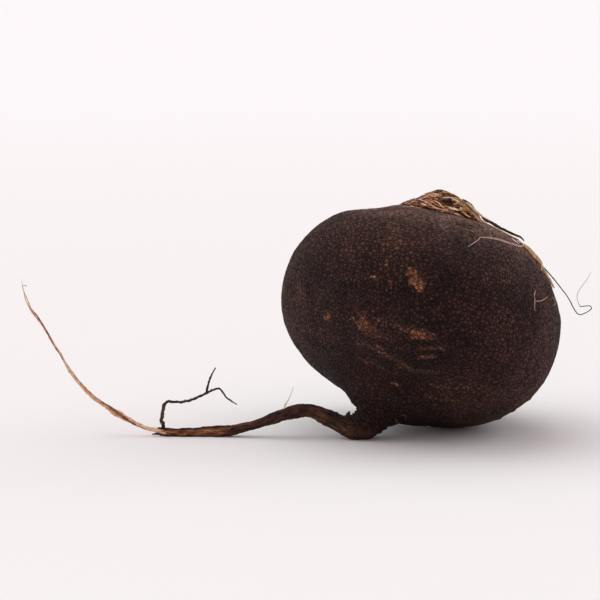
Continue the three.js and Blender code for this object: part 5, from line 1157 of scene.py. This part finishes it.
# ---------------------------------------------------------------- crown
def scale_mesh(at, out, up, size, curl=0.25, seed=0, tip=0.5, nu=14, nv=12, thick=0.22, wave=0.25, side=0.0):
    """a dry leaf foot: a curved, ragged plate that hugs the crown and lifts at its tip"""
    r = np.random.default_rng(seed)
    at, out, up = (np.asarray(x, float) for x in (at, out, up))
    out = out / np.linalg.norm(out)
    across = np.cross(up, out)
    across /= np.linalg.norm(across)
    up = np.cross(out, across)
    w, l = size[0] / 2, size[1]
    u = np.linspace(-1, 1, nu)
    v = np.linspace(0, 1, nv)
    U, Vv = np.meshgrid(u, v)
    width = w * (1 - tip * Vv ** 2.2) * (0.8 + 0.2 * np.sin(Vv * 3.1))
    edge = 1 + 0.16 * vnoise(np.stack([U.ravel() * 2.2 + seed * 3.7, Vv.ravel() * 5.0, 0 * U.ravel() + seed], 1)).reshape(U.shape)
    X = U * width * edge + side * Vv * w
    Y = (Vv - 0.42) * l * (1 + 0.14 * vnoise(np.stack([U.ravel() * 3.0 + seed, 0 * U.ravel() + 2.2, 0 * U.ravel() + seed * 1.3], 1)).reshape(U.shape) * (Vv > 0.7))
    Z = curl * l * (Vv - 0.25) ** 2 * 0.9 - 0.055 * X ** 2 + wave * vnoise(np.stack([X.ravel() / 1.3 + seed, Y.ravel() / 2.5, 0 * X.ravel() + seed * 5.1], 1)).reshape(U.shape)
    Z = Z + 0.10 * np.cos(U * 7 + seed)
    T = thick * (1 - 0.75 * np.abs(U) ** 3) * (1 - 0.7 * Vv ** 3) + 0.03
    topp = at + X[..., None] * across + Y[..., None] * up + (Z + T)[..., None] * out
    bot = at + X[..., None] * across + Y[..., None] * up + (Z - T)[..., None] * out
    Vt = np.vstack([topp.reshape(-1, 3), bot.reshape(-1, 3)])
    n = nu * nv
    F = []
    idx = lambda i, j: i * nu + j
    for i in range(nv - 1):
        for j in range(nu - 1):
            F.append([idx(i, j), idx(i, j + 1), idx(i + 1, j + 1), idx(i + 1, j)])
            F.append([n + idx(i, j), n + idx(i + 1, j), n + idx(i + 1, j + 1), n + idx(i, j + 1)])
    for i in range(nv - 1):
        F.append([idx(i, 0), idx(i + 1, 0), n + idx(i + 1, 0), n + idx(i, 0)])
        F.append([idx(i, nu - 1), n + idx(i, nu - 1), n + idx(i + 1, nu - 1), idx(i + 1, nu - 1)])
    for j in range(nu - 1):
        F.append([idx(0, j), n + idx(0, j), n + idx(0, j + 1), idx(0, j + 1)])
        F.append([idx(nv - 1, j), idx(nv - 1, j + 1), n + idx(nv - 1, j + 1), n + idx(nv - 1, j)])
    return Vt, F, np.r_[Vv.ravel(), Vv.ravel()]


def dome_frame(t, deg):
    t_, a_ = np.array([t]), np.array([math.radians(deg)])
    p = skin_point(t_, a_)[0]
    nrm = skin_normal(t_, a_)[0]
    c = catmull(SECTIONS, np.array([5.6]))[0][:3]
    if nrm @ (p - c) < 0:
        nrm = -nrm
    up = skin_point(t_ - 0.1, a_)[0] - skin_point(t_ + 0.1, a_)[0]
    up = up - nrm * (up @ nrm)
    return p, nrm, up / np.linalg.norm(up)


# look of every leaf foot: tint, green and pink
LOOK = {
    'leaf_base_hollow': (0.55, 0.2, 0.2), 'leaf_base_cream': (1.1, 0.0, 0.3), 'leaf_base_ochre': (0.45, 0.4, 0.0),
    'leaf_base_front': (0.5, 0.0, 0.7), 'leaf_base_front_left': (0.45, 0.0, 0.8), 'leaf_base_left': (0.4, 0.0, 0.8),
    'leaf_base_back_left': (0.45, 0.0, 0.6), 'leaf_base_back': (0.5, 0.15, 0.4), 'leaf_base_back_right': (0.5, 0.4, 0.2),
    'leaf_base_right': (0.55, 0.5, 0.1), 'leaf_base_top_left': (0.4, 0.0, 0.4), 'leaf_base_top_back': (0.45, 0.1, 0.3)}
heaps = {k: Heap() for k in LOOK}
centres = {k: np.asarray(LEAVES[k][0], float) for k in LOOK}


def owner(p):
    return min(centres, key=lambda k: np.linalg.norm(centres[k] - p))


def add_strip(pts, normal, look, seed, flat=0.42):
    tint, green, pink, dark, grey = look
    v, f, al = tube(pts, sides=10, step=0.28, flat=flat, flat_dir=normal, rough=0.3, seed=seed)
    heaps[owner(np.asarray(pts)[:, :3].mean(0))].add(v, f, along=al, tint=tint, green=green, pink=pink, dark=dark, grey=grey)


for k, key in enumerate(LOOK):
    at, out, up, size = LEAVES[key]
    tint, green, pink = LOOK[key]
    if key == 'leaf_base_hollow':
        continue
    v, f, al = scale_mesh(at, out, up, (size[0] * 0.86, size[1] * 0.8), 0.02, k + 3, 0.45, 24, 18, 0.30, 0.16)
    heaps[key].add(v, f, along=al, tint=tint, green=green, pink=pink, dark=0.15, grey=0.2)
for k, (pts, normal, look) in enumerate(CROWN_STRIPS):
    add_strip(pts, normal, look, k + 1)
# ragged flakes that run round the crown, in steps from the rim to the top
rr_ = np.random.default_rng(77)
for k in range(330):
    t0 = 0.9 + 4.9 * math.sqrt(rr_.random())
    a0 = rr_.uniform(0, 360)
    front = 195 < a0 < 345
    if front and (rr_.random() < 0.45 or (285 < a0 and rr_.random() < 0.7)):
        continue
    n_ = int(rr_.integers(3, 6))
    length = rr_.uniform(1.8, 5.2) * (0.6 if front else 1.0)
    radius_here = np.linalg.norm(catmull(SECTIONS, np.array([t0]))[0, 3:6]) + 0.5
    step_a = math.degrees(length / radius_here) / (n_ - 1)
    drift = rr_.uniform(-0.16, 0.10)
    wide = rr_.uniform(0.14, 0.42) * (0.62 if front else 1.0)
    pts, nn = [], []
    lift = rr_.uniform(0.0, 0.16)
    for j in range(n_):
        p, nrm, u_ = dome_frame(min(max(t0 + drift * j, 0.5), 5.85), a0 + step_a * j)
        p = p + nrm * (lift + 0.25 * wide)
        if np.linalg.norm((p - h_at) @ np.stack([h_a / (h_a @ h_a), h_b / (h_b @ h_b)], 1)) < 1.15 and nrm @ h_n > 0.4:
            break
        pts.append([*p, wide * (0.4 if j in (0, n_ - 1) else 1.0)])
        nn.append(nrm)
    if len(pts) < 3:
        continue
    right = math.cos(math.radians(a0)) * 0.5 + 0.5
    tint = rr_.choice([0.1, 0.3, 0.5, 0.7, 0.95, 1.15])
    look = (tint, max(0.0, rr_.uniform(-0.5, 0.7)) * right, min(1.0, rr_.uniform(0.3, 1.2) * (1 - 0.8 * right)), 0.85 if rr_.random() < 0.16 else 0.0, 0.7 if t0 < 2.2 else 0.0)
    add_strip(pts, np.mean(nn, 0) + 0.25 * u_, look, 50 + k, 0.35)
# wall of the open leaf foot, with painted light and shade: paler on its raised upper lip, darker deeper in and on its
# lower side
key = 'leaf_base_hollow'
m_ = 56
ang = np.linspace(0, 2 * math.pi, m_, endpoint=False)
ring = []
prof = [(1.30, -0.35), (1.24, 0.08), (1.16, 0.30), (1.08, 0.34), (1.00, 0.20), (0.93, -0.25), (0.86, -0.8)]
for rk, hh in prof:
    wob = 1 + 0.05 * np.sin(ang * 3 + 1) + 0.03 * np.sin(ang * 7)
    upper = np.clip(-np.sin(ang) + 0.35 * np.cos(ang), 0, 1)
    ring.append(h_at + h_a * (rk * wob * np.cos(ang))[:, None] + h_b * (rk * wob * np.sin(ang))[:, None] + h_n * (hh * (0.35 + 0.9 * upper))[:, None])
vv = np.vstack(ring)
ff = [[j * m_ + i, j * m_ + (i + 1) % m_, (j + 1) * m_ + (i + 1) % m_, (j + 1) * m_ + i] for j in range(len(prof) - 1) for i in range(m_)]
heaps[key].add(vv, ff, along=0.5, tint=np.tile(0.15 + 0.85 * upper, len(prof)), green=0.15, pink=0.3, dark=np.clip(np.repeat([0.1, 0, 0, 0, 0.3, 0.6, 0.8], m_) + np.tile(0.35 * (1 - upper), len(prof)), 0, 1), grey=0.1)
for key, h in heaps.items():
    h.build(key + '_dry', MAT_LEAF, 'dry_leaf', (key,))

# ---------------------------------------------------------------- stage
me = bpy.data.meshes.new('floor')
F_ = 6.0
me.from_pydata([(-F_, -F_, 0), (F_, -F_, 0), (F_, F_, 0), (-F_, F_, 0)], [], [(0, 1, 2, 3)])
floor = bpy.data.objects.new('floor', me)
bpy.context.scene.collection.objects.link(floor)
m, nt, p = new_material('paper_floor')
NF = Nodes(nt)
# painted light: the floor grows paler with distance from the radish, standing in for the brighter backdrop far off
far = nt.nodes.new('ShaderNodeVectorMath')
far.operation = 'LENGTH'
nt.links.new(NF.coord, far.inputs[0])
nt.links.new(NF.mix(NF.range(far.outputs['Value'], 0.15, 1.6), (0.895, 0.864, 0.862, 1), (0.945, 0.918, 0.925, 1)), p.inputs['Base Color'])
p.inputs['Roughness'].default_value = 0.95
p.inputs['Specular IOR Level'].default_value = 0.1
me.materials.append(m)

scene = bpy.context.scene
world = bpy.data.worlds.new('studio')
scene.world = world
world.use_nodes = True
nt = world.node_tree
nt.nodes.clear()
wo = nt.nodes.new('ShaderNodeOutputWorld')
mixs = nt.nodes.new('ShaderNodeMixShader')
seen = nt.nodes.new('ShaderNodeBackground')
seen.inputs[0].default_value = srgb(252, 249, 250)
lit = nt.nodes.new('ShaderNodeBackground')
lit.inputs[0].default_value = (1, 0.87, 0.895, 1)
lit.inputs[1].default_value = 0.65
lp = nt.nodes.new('ShaderNodeLightPath')
nt.links.new(lp.outputs['Is Camera Ray'], mixs.inputs[0])
nt.links.new(lit.outputs[0], mixs.inputs[1])
nt.links.new(seen.outputs[0], mixs.inputs[2])
nt.links.new(mixs.outputs[0], wo.inputs[0])


def sun(name, direction, angle, strength, colour=(1, 1, 1)):
    light = bpy.data.lights.new(name, 'SUN')
    light.angle = math.radians(angle)
    light.energy = strength
    light.color = colour
    ob = bpy.data.objects.new(name, light)
    ob.rotation_euler = (-Vector(direction)).to_track_quat('-Z', 'Y').to_euler()
    ob.location = (0, 0, 1)
    scene.collection.objects.link(ob)
    return ob


# one wide soft box overhead, a little behind, and weak light from both sides
sun('overhead', (-0.24, 0.30, 1.0), 56, 0.80, (0.87, 1.0, 0.985))
sun('left', (-1.0, 0.10, 0.48), 50, 0.90, (0.87, 1.0, 0.985))
sun('right', (1.0, 0.30, 0.48), 50, 0.76, (0.87, 1.0, 0.985))

cam_data = bpy.data.cameras.new('camera')
cam_data.sensor_width = 36
cam_data.lens = 157.4
cam_data.clip_start = 0.05
cam_data.clip_end = 60
cam = bpy.data.objects.new('camera', cam_data)
cam.location = tuple(to_world([-41.503, 6.174, -900.0]))
cam.rotation_euler = (math.radians(81), 0, 0)
scene.collection.objects.link(cam)
scene.camera = cam
scene.view_settings.view_transform = 'Standard'
scene.view_settings.look = 'None'
scene.view_settings.exposure = 0
scene.view_settings.gamma = 1
